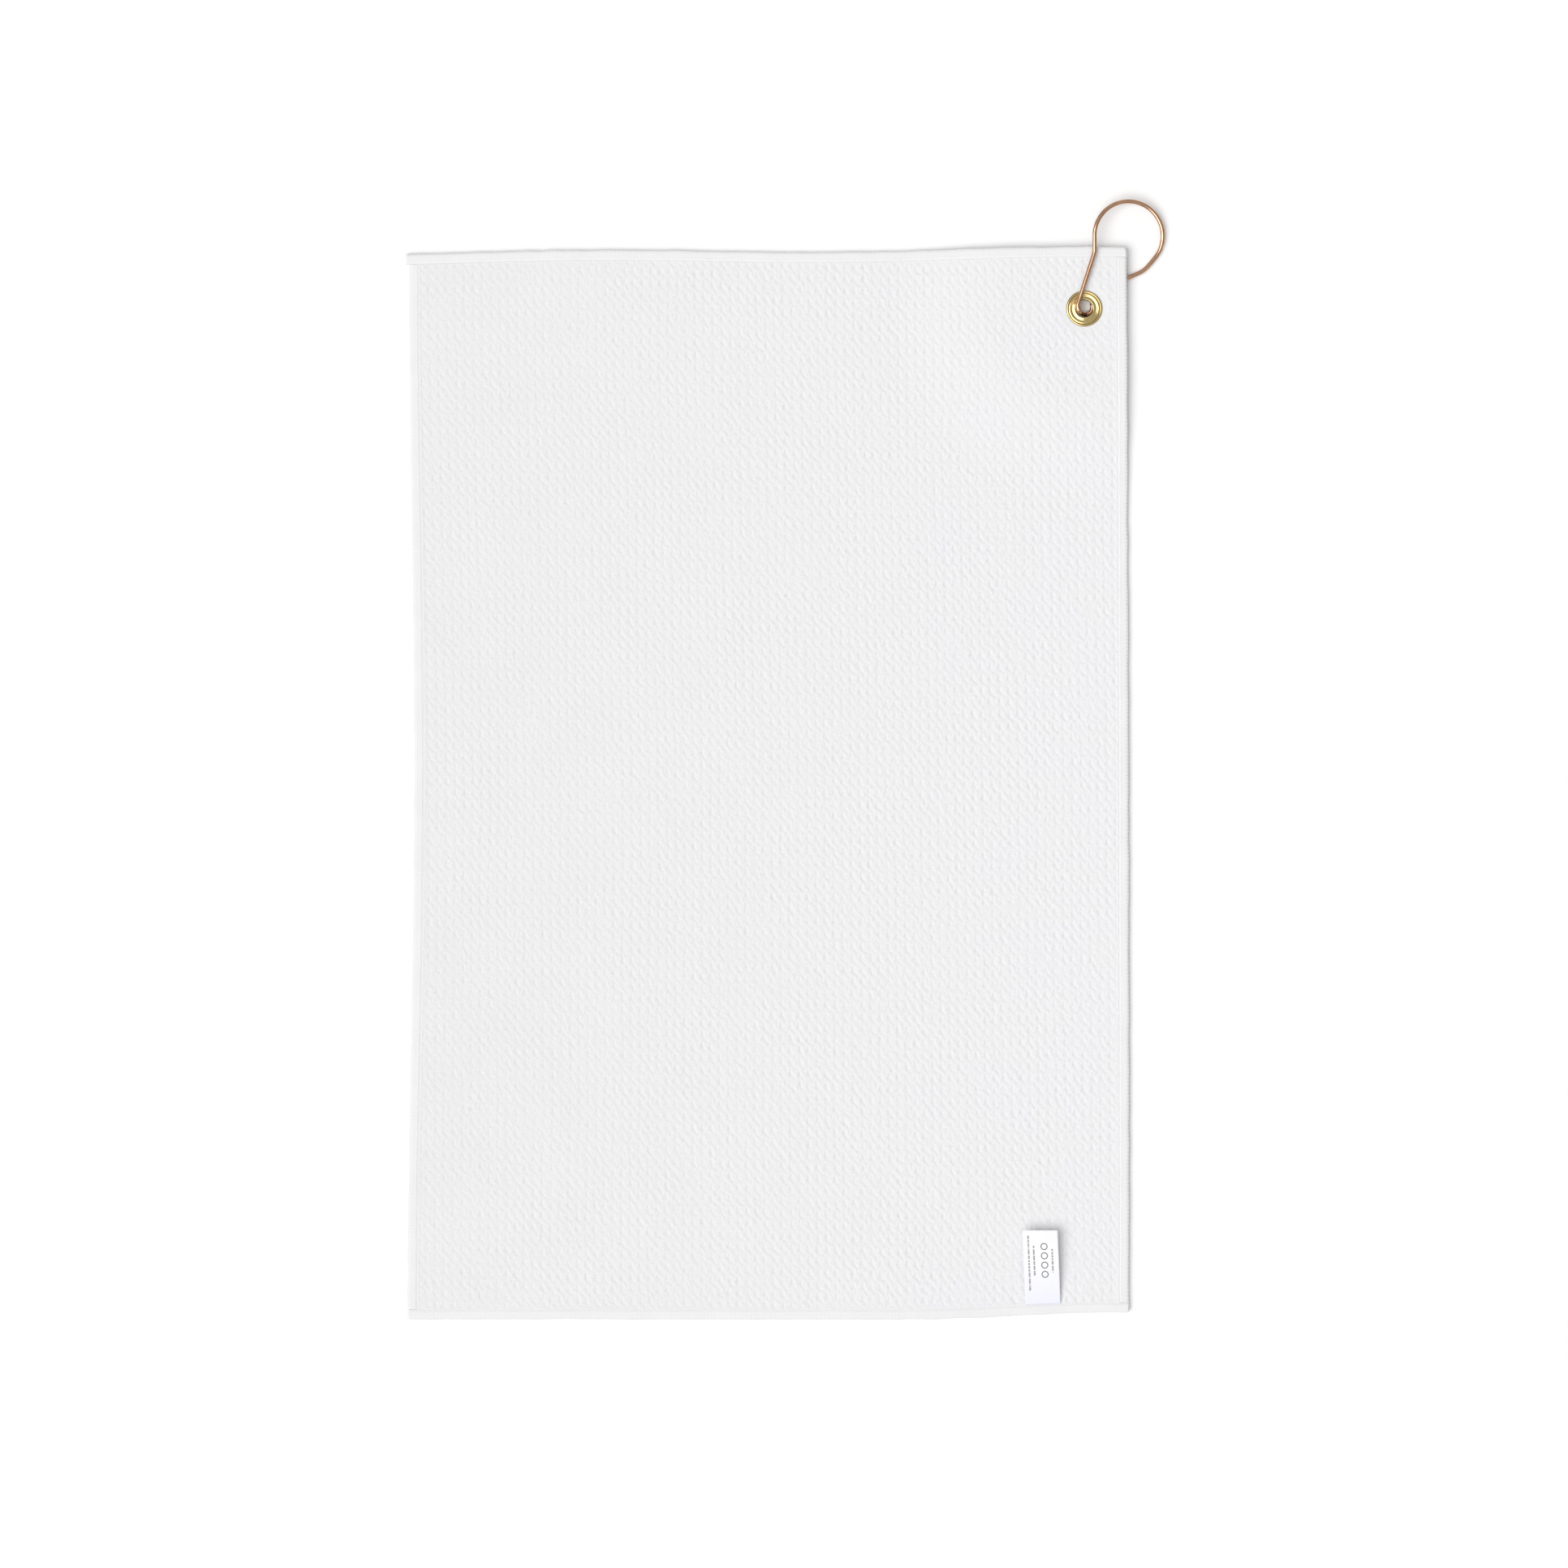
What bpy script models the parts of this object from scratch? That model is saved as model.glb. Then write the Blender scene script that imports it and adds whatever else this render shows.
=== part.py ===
"""A waffle-weave golf towel laid flat, with its brass grommet, sprung wire hook and sewn-in care label.

Metres, +Z up. X runs across the towel and Y along it, the origin is at its centre, and its underside rests on
Z = 0. Round the grommet the cloth rides up over the part of the wire hook that passes beneath it.
"""

import math

import bmesh
import bpy
from mathutils import Vector

# Towel cloth, as cut
towel_width = 0.4064
towel_length = 0.6036
cloth_thick = 0.0030
grid_step = 0.0240
fine_step = 0.0040

# How far the laid cloth's outline strays from the cut rectangle
left_bow = 0.0034
left_flare = 0.0012
left_lean = 0.0005
right_pull = 0.0002
right_lean = 0.0008
right_bow = 0.0004
top_rise = 0.0006
top_lean = 0.0012
top_wave = 0.0010
top_wave_length = 0.2700
top_wave_crest = -0.1000
bottom_sag = 0.0008
bottom_lift = 0.0038
bottom_lift_start = 0.1232
bottom_lift_end = 0.0132

# Fits
seat_gap = 0.0003
metal_gap = 0.0002
floor_gap = 0.00005

# Overlocked edges: thread wrapped round the cloth's edge, which it squeezes thinner
band_width = 0.0056
band_thick = 0.0032
band_wall = 0.0005
band_nose = 0.0008
band_chamfer = 0.0004
cloth_shoulder = 0.0010
corner_tail = 0.0020
thread_dia = 0.0004
thread_inset = 0.0044

# Grommet
grommet_inset_x = 0.0251
grommet_inset_y = 0.0324
hole_dia = 0.0095
flange_dia = 0.0203
flange_rise = 0.0009
barrel_wall = 0.0005
barrel_clear = 0.00035
flare_lip = 0.00135
flare_thick = 0.0004
rim_roll = 0.0009
ring_place = 0.56
ring_crest = 0.0003
ring_foot = 0.0011
lip_width = 0.0009
washer_dia = 0.0190
washer_thick = 0.0005
cloth_pinched = 0.0015
pinch_margin = 0.0018
pinch_ramp = 0.0040
turn_steps = 40

# Wire hook. Places are measured from the grommet's axis
wire_dia = 0.0025
loop_radius = 0.01943
loop_x = 0.0252
loop_y = 0.0412
crown_angle = math.radians(45)
slope_start = math.radians(170)
arm_leaves = math.radians(-43)
neck_drop = 0.0095
neck_bend = 0.0060
eye_slack = 0.00045
eye_lean = math.radians(69)
eye_dip = 0.00044
eye_end = math.radians(380)
bore_clear = 0.00015
arm_knee = Vector((0.0340, 0.0215))
arm_toe = Vector((0.0065, 0.0101))
arm_tip = Vector((0.0046, 0.0062))
knee_bend = 0.0080
toe_bend = 0.0030
arc_step = math.radians(9)

# Care label, folded double, with its ends caught in the bottom seam
label_width = 0.0200
label_length = 0.0420
label_thick = 0.0005
label_inset = 0.0486
label_rise = 0.0060
label_steps = 10

# The cloth rides up here so that the wire passes under it
lift_flat = 0.0500
lift_reach = 0.1100

# What follows from those
half_width = towel_width / 2
half_length = towel_length / 2
wire_radius = wire_dia / 2
hole_radius = hole_dia / 2
grommet_x = half_width - grommet_inset_x
grommet_y = half_length - grommet_inset_y
rear_height = floor_gap + wire_radius
corner_lift = floor_gap + wire_dia + seat_gap + floor_gap
flare_bottom = floor_gap + wire_dia + metal_gap + floor_gap
washer_bottom = flare_bottom + flare_thick + metal_gap
pinch_bottom = washer_bottom + washer_thick + metal_gap
pinch_top = pinch_bottom + cloth_pinched
flange_bottom = pinch_top + metal_gap
flange_top = flange_bottom + flange_rise
seam_top = corner_lift + band_thick + metal_gap + thread_dia
front_height = max(flange_top, seam_top, corner_lift + cloth_thick) + metal_gap + wire_radius
barrel_radius = hole_radius + barrel_wall
flare_radius = barrel_radius + flare_lip
cloth_hole = barrel_radius + barrel_clear
tuck = band_nose + seat_gap
seam_end = band_width + seat_gap
edge_low = band_wall + seat_gap
edge_high = band_thick - band_wall - seat_gap


def smooth(t):
    """0 below 0, 1 above 1, and an S between."""
    t = min(max(t, 0.0), 1.0)
    return t * t * (3 - 2 * t)


def bottom_shift(x):
    start = half_width - bottom_lift_start
    end = half_width - bottom_lift_end
    return bottom_lift * smooth((x - start) / (end - start)) - bottom_sag


def warp(x, y):
    """Where a point of the cut rectangle lies."""
    u = x / half_width
    v = y / half_length
    left = left_bow * math.cos(math.pi * v / 2) ** 2 + left_lean * v - left_flare
    right = right_bow * (1 - v * v) - right_lean * v - right_pull
    wave = math.cos(2 * math.pi * (x - top_wave_crest) / top_wave_length)
    top = top_rise + top_lean * u + top_wave * wave
    across = (1 + u) / 2
    along = (1 + v) / 2
    return (
        x + left * (1 - across) + right * across,
        y + bottom_shift(x) * (1 - along) + top * along,
    )


def lift(x, y):
    """How high the cloth's underside rides above the floor."""
    away = math.hypot(x - grommet_x, y - grommet_y)
    return corner_lift * (1 - smooth((away - lift_flat) / (lift_reach - lift_flat)))


def laid(x, y, height):
    """A point of the cut rectangle, at a height above the cloth's underside."""
    wx, wy = warp(x, y)
    return Vector((wx, wy, lift(wx, wy) + height))


def grid_lines(half, grommet):
    """Where the panel's mesh is cut: closer at its edges and round the grommet."""
    inner = half - seam_end - cloth_shoulder
    near = [grommet + i * fine_step for i in range(-5, 6)]
    lines = [-half + tuck, -half + seam_end, half - seam_end, half - tuck]
    lines += [n for n in near if abs(n) < inner - fine_step / 2]
    count = round(2 * inner / grid_step)
    for i in range(count + 1):
        at = -inner + 2 * inner * i / count
        if i in (0, count) or min(abs(at - n) for n in near) > fine_step:
            lines.append(at)
    return sorted(lines)


across_lines = grid_lines(half_width, grommet_x)
along_lines = grid_lines(half_length, grommet_y)


def material(name, colour, roughness, metallic):
    made = bpy.data.materials.new(name)
    made.use_nodes = True
    made.diffuse_color = (*colour, 1)
    shader = made.node_tree.nodes["Principled BSDF"]
    shader.inputs["Base Color"].default_value = (*colour, 1)
    shader.inputs["Roughness"].default_value = roughness
    shader.inputs["Metallic"].default_value = metallic
    return made


def place(name, data, finish, origin=(0, 0, 0)):
    ob = bpy.data.objects.new(name, data)
    ob.location = origin
    data.materials.append(material(name, *finish))
    bpy.context.scene.collection.objects.link(ob)
    return ob


def closed_mesh(name, bm):
    bmesh.ops.recalc_face_normals(bm, faces=bm.faces)
    mesh = bpy.data.meshes.new(name)
    bm.to_mesh(mesh)
    bm.free()
    return mesh


def cloth_faces(x, y):
    """The heights of the panel's lower and upper faces over a point of the cut rectangle."""
    wx, wy = warp(x, y)
    base = lift(wx, wy)
    from_edge = min(half_width - abs(x), half_length - abs(y))
    squeezed = from_edge < seam_end + cloth_shoulder / 2
    low = base + (edge_low if squeezed else 0)
    high = base + (edge_high if squeezed else cloth_thick)
    away = math.hypot(wx - grommet_x, wy - grommet_y)
    open_out = smooth((away - flange_dia / 2 - pinch_margin) / pinch_ramp)
    low = pinch_bottom + (low - pinch_bottom) * open_out
    high = pinch_top + (high - pinch_top) * open_out
    return low, high


def towel_panel():
    """The waffle cloth: two faces over one grid, joined round the edge, with the grommet's hole cut out."""
    bm = bmesh.new()
    under, over = [], []
    for y in along_lines:
        under_row, over_row = [], []
        for x in across_lines:
            wx, wy = warp(x, y)
            low, high = cloth_faces(x, y)
            under_row.append(bm.verts.new((wx, wy, low)))
            over_row.append(bm.verts.new((wx, wy, high)))
        under.append(under_row)
        over.append(over_row)
    rows, columns = len(along_lines), len(across_lines)
    for j in range(rows - 1):
        for i in range(columns - 1):
            bm.faces.new((under[j][i], under[j + 1][i], under[j + 1][i + 1], under[j][i + 1]))
            bm.faces.new((over[j][i], over[j][i + 1], over[j + 1][i + 1], over[j + 1][i]))
    rim = [(0, i) for i in range(columns)]
    rim += [(j, columns - 1) for j in range(1, rows)]
    rim += [(rows - 1, i) for i in range(columns - 2, -1, -1)]
    rim += [(j, 0) for j in range(rows - 2, 0, -1)]
    for (j, i), (k, n) in zip(rim, rim[1:] + rim[:1]):
        bm.faces.new((under[j][i], under[k][n], over[k][n], over[j][i]))
    panel = place("towel_panel", closed_mesh("towel_panel", bm), white_cloth)
    cutter_mesh = bmesh.new()
    bmesh.ops.create_cone(
        cutter_mesh,
        cap_ends=True,
        segments=turn_steps,
        radius1=cloth_hole,
        radius2=cloth_hole,
        depth=4 * front_height,
    )
    cutter = place("grommet_cutter", closed_mesh("grommet_cutter", cutter_mesh), white_cloth)
    cutter.location = (grommet_x, grommet_y, front_height)
    cutter.hide_render = True
    cutter.display_type = "WIRE"
    cut = panel.modifiers.new("grommet_hole", "BOOLEAN")
    cut.operation = "DIFFERENCE"
    cut.solver = "EXACT"
    cut.object = cutter


def edge_point(side, along, inset, height):
    """A point at a distance in from one edge, at a place along that edge."""
    if side == "left":
        return laid(-half_width + inset, along, height)
    if side == "right":
        return laid(half_width - inset, along, height)
    if side == "top":
        return laid(along, half_length - inset, height)
    return laid(along, -half_length + inset, height)


def seam_stations(side):
    """Places along a seam, the same as the panel's, so that both bend alike."""
    if side in ("left", "right"):
        return [y for y in along_lines if abs(y) <= half_length - seam_end + 1e-6]
    inner = [x for x in across_lines if abs(x) < half_width - tuck - 1e-6]
    start = -half_width - (corner_tail if side == "top" else 0)
    return [start, *inner, half_width]


def overlock(side):
    """A channel of thread that holds the cloth's edge in its mouth."""
    top = band_thick
    outline = [
        (0, band_chamfer),
        (band_chamfer, 0),
        (band_width, 0),
        (band_width, band_wall),
        (band_nose, band_wall),
        (band_nose, top - band_wall),
        (band_width, top - band_wall),
        (band_width, top),
        (band_chamfer, top),
        (0, top - band_chamfer),
    ]
    bm = bmesh.new()
    rings = [
        [bm.verts.new(edge_point(side, along, inset, height)) for inset, height in outline]
        for along in seam_stations(side)
    ]
    count = len(outline)
    for ring, following in zip(rings, rings[1:]):
        for i in range(count):
            j = (i + 1) % count
            bm.faces.new((ring[i], ring[j], following[j], following[i]))
    bm.faces.new(rings[0])
    bm.faces.new(rings[-1])
    name = "edge_overlock_" + side
    place(name, closed_mesh(name, bm), thread_white)


def tube(name, points, radius, finish, origin=(0, 0, 0), round_ends=False):
    """A wire or thread: a bevelled curve through points, flat or round at its ends."""
    origin = Vector(origin)
    stations = [(p, 1.0) for p in points]
    if round_ends:
        head = end_cap(points[0], points[1], radius)
        tail = end_cap(points[-1], points[-2], radius)
        stations = head + stations[1:-1] + tail[::-1]
    curve = bpy.data.curves.new(name, "CURVE")
    curve.dimensions = "3D"
    curve.bevel_depth = radius
    curve.bevel_resolution = 3 if round_ends else 1
    curve.use_fill_caps = True
    spline = curve.splines.new("POLY")
    spline.points.add(len(stations) - 1)
    for point, (at, share) in zip(spline.points, stations):
        point.co = (*(at - origin), 1)
        point.radius = share
    place(name, curve, finish, origin)


def end_cap(end, neighbour, radius):
    """Stations of a round end whose ball is centred on the end point, from its pole inwards."""
    outward = (end - neighbour).normalized()
    turns = [math.radians(a) for a in (82, 60, 35, 0)]
    return [(end + outward * radius * math.sin(a), math.cos(a)) for a in turns]


def needle_thread(side):
    """The straight needle thread that lies along a seam."""
    height = band_thick + metal_gap + thread_dia / 2
    points = [edge_point(side, along, thread_inset, height) for along in seam_stations(side)]
    tube("needle_thread_" + side, points, thread_dia / 2, thread_white)


def turned(name, profile, finish):
    """A closed profile of radius and height, turned about the grommet's axis."""
    bm = bmesh.new()
    ring = [bm.verts.new((r, 0, z)) for r, z in profile]
    edges = [bm.edges.new((a, b)) for a, b in zip(ring, ring[1:] + ring[:1])]
    bmesh.ops.spin(
        bm,
        geom=ring + edges,
        cent=(0, 0, 0),
        axis=(0, 0, 1),
        angle=2 * math.pi,
        steps=turn_steps,
        use_merge=True,
    )
    bmesh.ops.remove_doubles(bm, verts=bm.verts, dist=1e-6)
    mesh = closed_mesh(name, bm)
    mesh.shade_smooth()
    mesh.set_sharp_from_angle(angle=math.radians(50))
    return place(name, mesh, finish, (grommet_x, grommet_y, 0))


def grommet_eyelet():
    """The front flange with its rolled rim and raised ring, and the barrel, flared behind the washer."""
    rim = flange_dia / 2
    ring = hole_radius + ring_place * (rim - hole_radius)
    profile = [
        (rim, flange_bottom),
        (rim, flange_bottom + 0.5 * flange_rise),
        (rim - rim_roll / 2, flange_bottom + 0.85 * flange_rise),
        (rim - rim_roll, flange_bottom + 0.85 * flange_rise),
        (ring + ring_foot, flange_bottom + 0.5 * flange_rise),
        (ring + ring_crest, flange_top),
        (ring - ring_crest, flange_top),
        (ring - ring_foot, flange_bottom + 0.6 * flange_rise),
        (hole_radius + lip_width, flange_top),
        (hole_radius + lip_width / 3, flange_bottom + 0.9 * flange_rise),
        (hole_radius, flange_bottom + 0.4 * flange_rise),
        (hole_radius, flare_bottom + 1.2 * flare_thick),
        (hole_radius + lip_width / 3, flare_bottom + 0.3 * flare_thick),
        (hole_radius + lip_width, flare_bottom),
        (flare_radius, flare_bottom),
        (flare_radius, flare_bottom + flare_thick),
        (barrel_radius, flare_bottom + flare_thick),
        (barrel_radius, flange_bottom),
    ]
    turned("grommet_eyelet", profile, brass)


def grommet_washer():
    """The rear washer, clamped between the flared barrel and the cloth."""
    rim = washer_dia / 2
    top = washer_bottom + washer_thick
    profile = [
        (cloth_hole, washer_bottom),
        (rim - washer_thick / 2, washer_bottom),
        (rim, washer_bottom + washer_thick / 2),
        (rim, top),
        (cloth_hole, top),
    ]
    turned("grommet_washer", profile, brass)


def arc(centre, radius, start, end, height):
    """Points along an arc, turning either way, at heights given by angle."""
    count = max(2, round(abs(end - start) / arc_step))
    angles = [start + (end - start) * i / count for i in range(count + 1)]
    return [
        Vector((centre.x + radius * math.cos(a), centre.y + radius * math.sin(a), height(a)))
        for a in angles
    ]


def bend(before, corner, after, radius, height):
    """The arc that rounds a corner of a flat route."""
    back = (before - corner).normalized()
    ahead = (after - corner).normalized()
    half = back.angle(ahead) / 2
    centre = corner + (back + ahead).normalized() * radius / math.sin(half)
    run = radius / math.tan(half)
    first = corner + back * run - centre
    last = corner + ahead * run - centre
    start = math.atan2(first.y, first.x)
    turn = math.atan2(first.x * last.y - first.y * last.x, first.dot(last))
    return arc(centre, radius, start, start + turn, lambda angle: height)


def loop_height(angle):
    """The loop slopes from the front shank's height down to the rear arm's."""
    t = (slope_start - angle) / (slope_start - arm_leaves)
    return front_height + (rear_height - front_height) * smooth(t)


grommet = Vector((grommet_x, grommet_y))
loop_centre = grommet + Vector((loop_x, loop_y))
barrel_room = hole_radius - wire_radius - bore_clear
eye_radius = hole_radius - eye_slack
eye_shift = eye_radius - barrel_room + eye_dip
eye_centre = grommet + eye_shift * Vector((math.cos(eye_lean), math.sin(eye_lean)))
crown = arc(loop_centre, loop_radius, crown_angle, crown_angle, loop_height)[0]


def eye_height(angle):
    """The eye drops through the barrel over the stretch where the wire has room in it."""
    reach = (barrel_room**2 - eye_radius**2 - eye_shift**2) / (2 * eye_radius * eye_shift)
    half = math.pi - math.acos(max(reach, -1))
    t = (angle - (eye_lean + math.pi - half)) / (2 * half)
    return front_height + (rear_height - front_height) * smooth(t)


def hook_shank():
    """Most of the loop, the neck, the straight front shank and the eye through the grommet."""
    neck = loop_centre + Vector((-loop_radius, -neck_drop))
    to_neck = neck - eye_centre
    lands = math.atan2(to_neck.y, to_neck.x) + math.acos(eye_radius / to_neck.length)
    landing = eye_centre + eye_radius * Vector((math.cos(lands), math.sin(lands)))
    above_neck = loop_centre + Vector((-loop_radius, 0))
    ball_gap = (wire_dia + seat_gap) / loop_radius
    points = arc(loop_centre, loop_radius, crown_angle + ball_gap, math.pi, loop_height)
    points += bend(above_neck, neck, landing, neck_bend, front_height)
    points += arc(eye_centre, eye_radius, lands, eye_end, eye_height)
    tube("hook_shank", points, wire_radius, copper, (grommet_x, grommet_y, front_height), True)


def hook_spring_arm():
    """The sprung side of the loop, and the arm that runs behind the towel to the eye."""
    knee, toe, tip = (grommet + p for p in (arm_knee, arm_toe, arm_tip))
    points = arc(loop_centre, loop_radius, crown_angle, arm_leaves, loop_height)
    points += bend(points[-1].xy, knee, toe, knee_bend, rear_height)
    points += bend(knee, toe, tip, toe_bend, rear_height)
    points.append(Vector((*tip, rear_height)))
    tube("hook_spring_arm", points, wire_radius, copper, crown, True)


def care_label():
    """The folded label, square to the bottom seam, with its free end standing off the cloth."""
    root_x = half_width - label_inset
    probe = 0.001
    slope = (bottom_shift(root_x + probe) - bottom_shift(root_x - probe)) / (2 * probe)
    height = cloth_thick + seat_gap + label_thick / 2
    origin = laid(root_x, -half_length + seam_end, height)
    bm = bmesh.new()
    rings = []
    for i in range(label_steps + 1):
        share = i / label_steps
        y = label_length * share
        z = label_rise * math.sin(math.pi / 2 * share)
        corners = [(-1, -1), (1, -1), (1, 1), (-1, 1)]
        rings.append(
            [bm.verts.new((a * label_width / 2, y, z + b * label_thick / 2)) for a, b in corners]
        )
    for ring, following in zip(rings, rings[1:]):
        for i in range(4):
            j = (i + 1) % 4
            bm.faces.new((ring[i], ring[j], following[j], following[i]))
    bm.faces.new(rings[0])
    bm.faces.new(rings[-1])
    label = place("care_label", closed_mesh("care_label", bm), label_white, origin)
    label.rotation_euler.z = math.atan(slope)


white_cloth = ((0.86, 0.86, 0.87), 0.95, 0.0)
thread_white = ((0.88, 0.88, 0.88), 0.7, 0.0)
label_white = ((0.9, 0.9, 0.9), 0.5, 0.0)
brass = ((0.78, 0.66, 0.38), 0.22, 1.0)
copper = ((0.72, 0.43, 0.27), 0.2, 1.0)

for old in list(bpy.data.objects):
    bpy.data.objects.remove(old, do_unlink=True)
towel_panel()
for edge in ("left", "right", "top", "bottom"):
    overlock(edge)
    needle_thread(edge)
grommet_eyelet()
grommet_washer()
hook_shank()
hook_spring_arm()
care_label()
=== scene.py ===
import math

import bpy
import numpy as np
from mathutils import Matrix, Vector


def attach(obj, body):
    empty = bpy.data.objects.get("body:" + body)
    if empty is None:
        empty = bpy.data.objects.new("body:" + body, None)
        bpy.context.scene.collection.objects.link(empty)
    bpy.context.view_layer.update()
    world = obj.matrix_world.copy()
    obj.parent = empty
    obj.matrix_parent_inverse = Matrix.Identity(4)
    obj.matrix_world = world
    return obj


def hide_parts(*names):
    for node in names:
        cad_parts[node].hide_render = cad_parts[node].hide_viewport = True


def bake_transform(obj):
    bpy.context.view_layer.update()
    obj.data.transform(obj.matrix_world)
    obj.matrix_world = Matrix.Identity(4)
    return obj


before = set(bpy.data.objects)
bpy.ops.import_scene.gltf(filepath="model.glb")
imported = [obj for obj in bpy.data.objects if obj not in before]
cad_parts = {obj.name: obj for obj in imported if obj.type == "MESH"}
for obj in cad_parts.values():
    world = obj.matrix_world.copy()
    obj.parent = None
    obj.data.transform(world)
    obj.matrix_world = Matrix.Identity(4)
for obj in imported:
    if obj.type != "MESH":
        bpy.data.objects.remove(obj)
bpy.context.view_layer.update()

# ---------------------------------------------------------------- values repeated from part.py
towel_width, towel_length, cloth_thick = 0.4064, 0.6036, 0.0030
left_bow, left_flare, left_lean = 0.0034, 0.0012, 0.0005
right_pull, right_lean, right_bow = 0.0002, 0.0008, 0.0004
top_rise, top_lean, top_wave = 0.0006, 0.0012, 0.0010
top_wave_length, top_wave_crest = 0.2700, -0.1000
bottom_sag, bottom_lift = 0.0008, 0.0038
bottom_lift_start, bottom_lift_end = 0.1232, 0.0132
seat_gap, metal_gap, floor_gap = 0.0003, 0.0002, 0.00005
band_width, band_thick, band_wall, band_nose = 0.0056, 0.0032, 0.0005, 0.0008
corner_tail, thread_dia, thread_inset = 0.0020, 0.0004, 0.0044
grommet_inset_x, grommet_inset_y = 0.0251, 0.0324
hole_dia, flange_dia, flange_rise = 0.0095, 0.0203, 0.0009
barrel_wall, flare_lip, flare_thick = 0.0005, 0.00135, 0.0004
washer_dia, washer_thick = 0.0190, 0.0005
cloth_pinched = 0.0015
wire_dia, loop_radius, loop_x, loop_y = 0.0025, 0.01943, 0.0252, 0.0412
slope_start, arm_leaves = math.radians(170), math.radians(-43)
neck_drop, neck_bend = 0.0095, 0.0060
eye_slack, eye_lean, eye_dip, eye_end = 0.00045, math.radians(69), 0.00044, math.radians(380)
bore_clear = 0.00015
arm_knee, arm_toe, arm_tip = (0.0340, 0.0215), (0.0065, 0.0101), (0.0046, 0.0062)
knee_bend, toe_bend = 0.0080, 0.0030
label_width, label_length, label_thick = 0.0200, 0.0420, 0.0005
label_inset, label_rise = 0.0486, 0.0060
lift_flat, lift_reach = 0.0500, 0.1100

# The visual cloth's hole is a closer fit on the barrel than the CAD solid's
hole_clear = 0.00015

half_width, half_length = towel_width / 2, towel_length / 2
wire_radius, hole_radius = wire_dia / 2, hole_dia / 2
grommet_x, grommet_y = half_width - grommet_inset_x, half_length - grommet_inset_y
rear_height = floor_gap + wire_radius
corner_lift = floor_gap + wire_dia + seat_gap + floor_gap
flare_bottom = floor_gap + wire_dia + metal_gap + floor_gap
washer_bottom = flare_bottom + flare_thick + metal_gap
pinch_bottom = washer_bottom + washer_thick + metal_gap
pinch_top = pinch_bottom + cloth_pinched
flange_bottom = pinch_top + metal_gap
flange_top = flange_bottom + flange_rise
seam_top = corner_lift + band_thick + metal_gap + thread_dia
front_height = max(flange_top, seam_top, corner_lift + cloth_thick) + metal_gap + wire_radius
barrel_radius = hole_radius + barrel_wall
flare_radius = barrel_radius + flare_lip
cloth_hole = barrel_radius + hole_clear
tuck = band_nose + seat_gap
seam_end = band_width + seat_gap

mm = 0.001


def smooth(t):
    t = np.clip(t, 0.0, 1.0)
    return t * t * (3 - 2 * t)


def bottom_shift(x):
    start = half_width - bottom_lift_start
    end = half_width - bottom_lift_end
    return bottom_lift * smooth((x - start) / (end - start)) - bottom_sag


def warp(x, y):
    """Where points of the cut rectangle lie."""
    u = x / half_width
    v = y / half_length
    left = left_bow * np.cos(np.pi * v / 2) ** 2 + left_lean * v - left_flare
    right = right_bow * (1 - v * v) - right_lean * v - right_pull
    wave = np.cos(2 * np.pi * (x - top_wave_crest) / top_wave_length)
    top = top_rise + top_lean * u + top_wave * wave
    across = (1 + u) / 2
    along = (1 + v) / 2
    return (
        x + left * (1 - across) + right * across,
        y + bottom_shift(x) * (1 - along) + top * along,
    )


def lift(x, y):
    away = np.hypot(x - grommet_x, y - grommet_y)
    return corner_lift * (1 - smooth((away - lift_flat) / (lift_reach - lift_flat)))


# ---------------------------------------------------------------- materials
def new_material(name):
    mat = bpy.data.materials.new(name)
    mat.use_nodes = True
    tree = mat.node_tree
    return mat, tree, tree.nodes["Principled BSDF"]


def plug(tree, socket, value):
    """Links a node's output to a socket, or sets the socket to a value."""
    if hasattr(value, "is_output"):
        tree.links.new(value, socket)
    elif socket.type == "RGBA":
        socket.default_value = (*value, 1)
    else:
        socket.default_value = value


def node(tree, kind, settings=None, **inputs):
    made = tree.nodes.new(kind)
    for key, value in (settings or {}).items():
        setattr(made, key, value)
    for key, value in inputs.items():
        plug(tree, made.inputs[key.replace("_", " ")], value)
    return made


def noise(tree, where, scale, detail=2.0, rough=0.5):
    made = node(tree, "ShaderNodeTexNoise", Vector=where, Scale=scale, Detail=detail, Roughness=rough)
    return made.outputs["Fac"]


def maths(tree, kind, *values):
    made = tree.nodes.new("ShaderNodeMath")
    made.operation = kind
    for socket, value in zip(made.inputs, values):
        plug(tree, socket, value)
    return made.outputs[0]


def reach(tree, x, y):
    """How far (x, y) is from the origin."""
    return maths(tree, "SQRT", maths(tree, "ADD", maths(tree, "MULTIPLY", x, x), maths(tree, "MULTIPLY", y, y)))


def map_range(tree, value, from_min, from_max, to_min, to_max):
    made = node(
        tree, "ShaderNodeMapRange", Value=value, From_Min=from_min, From_Max=from_max, To_Min=to_min, To_Max=to_max
    )
    return made.outputs["Result"]


def bump(tree, height, distance, strength=1.0, normal=None):
    made = node(tree, "ShaderNodeBump", Height=height, Strength=strength, Distance=distance)
    if normal is not None:
        tree.links.new(normal, made.inputs["Normal"])
    return made.outputs["Normal"]


def mix_colour(tree, share, a, b, kind="MIX"):
    made = tree.nodes.new("ShaderNodeMix")
    made.data_type = "RGBA"
    made.blend_type = kind
    colours = [socket for socket in made.inputs if socket.type == "RGBA"]
    for socket, value in zip((made.inputs[0], *colours), (share, a, b)):
        plug(tree, socket, value)
    return next(socket for socket in made.outputs if socket.type == "RGBA")


def set_shader(shader, **values):
    """Constants on the shader: Sheen_Weight=0.2 sets Sheen Weight."""
    for key, value in values.items():
        shader.inputs[key.replace("_", " ")].default_value = value


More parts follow.
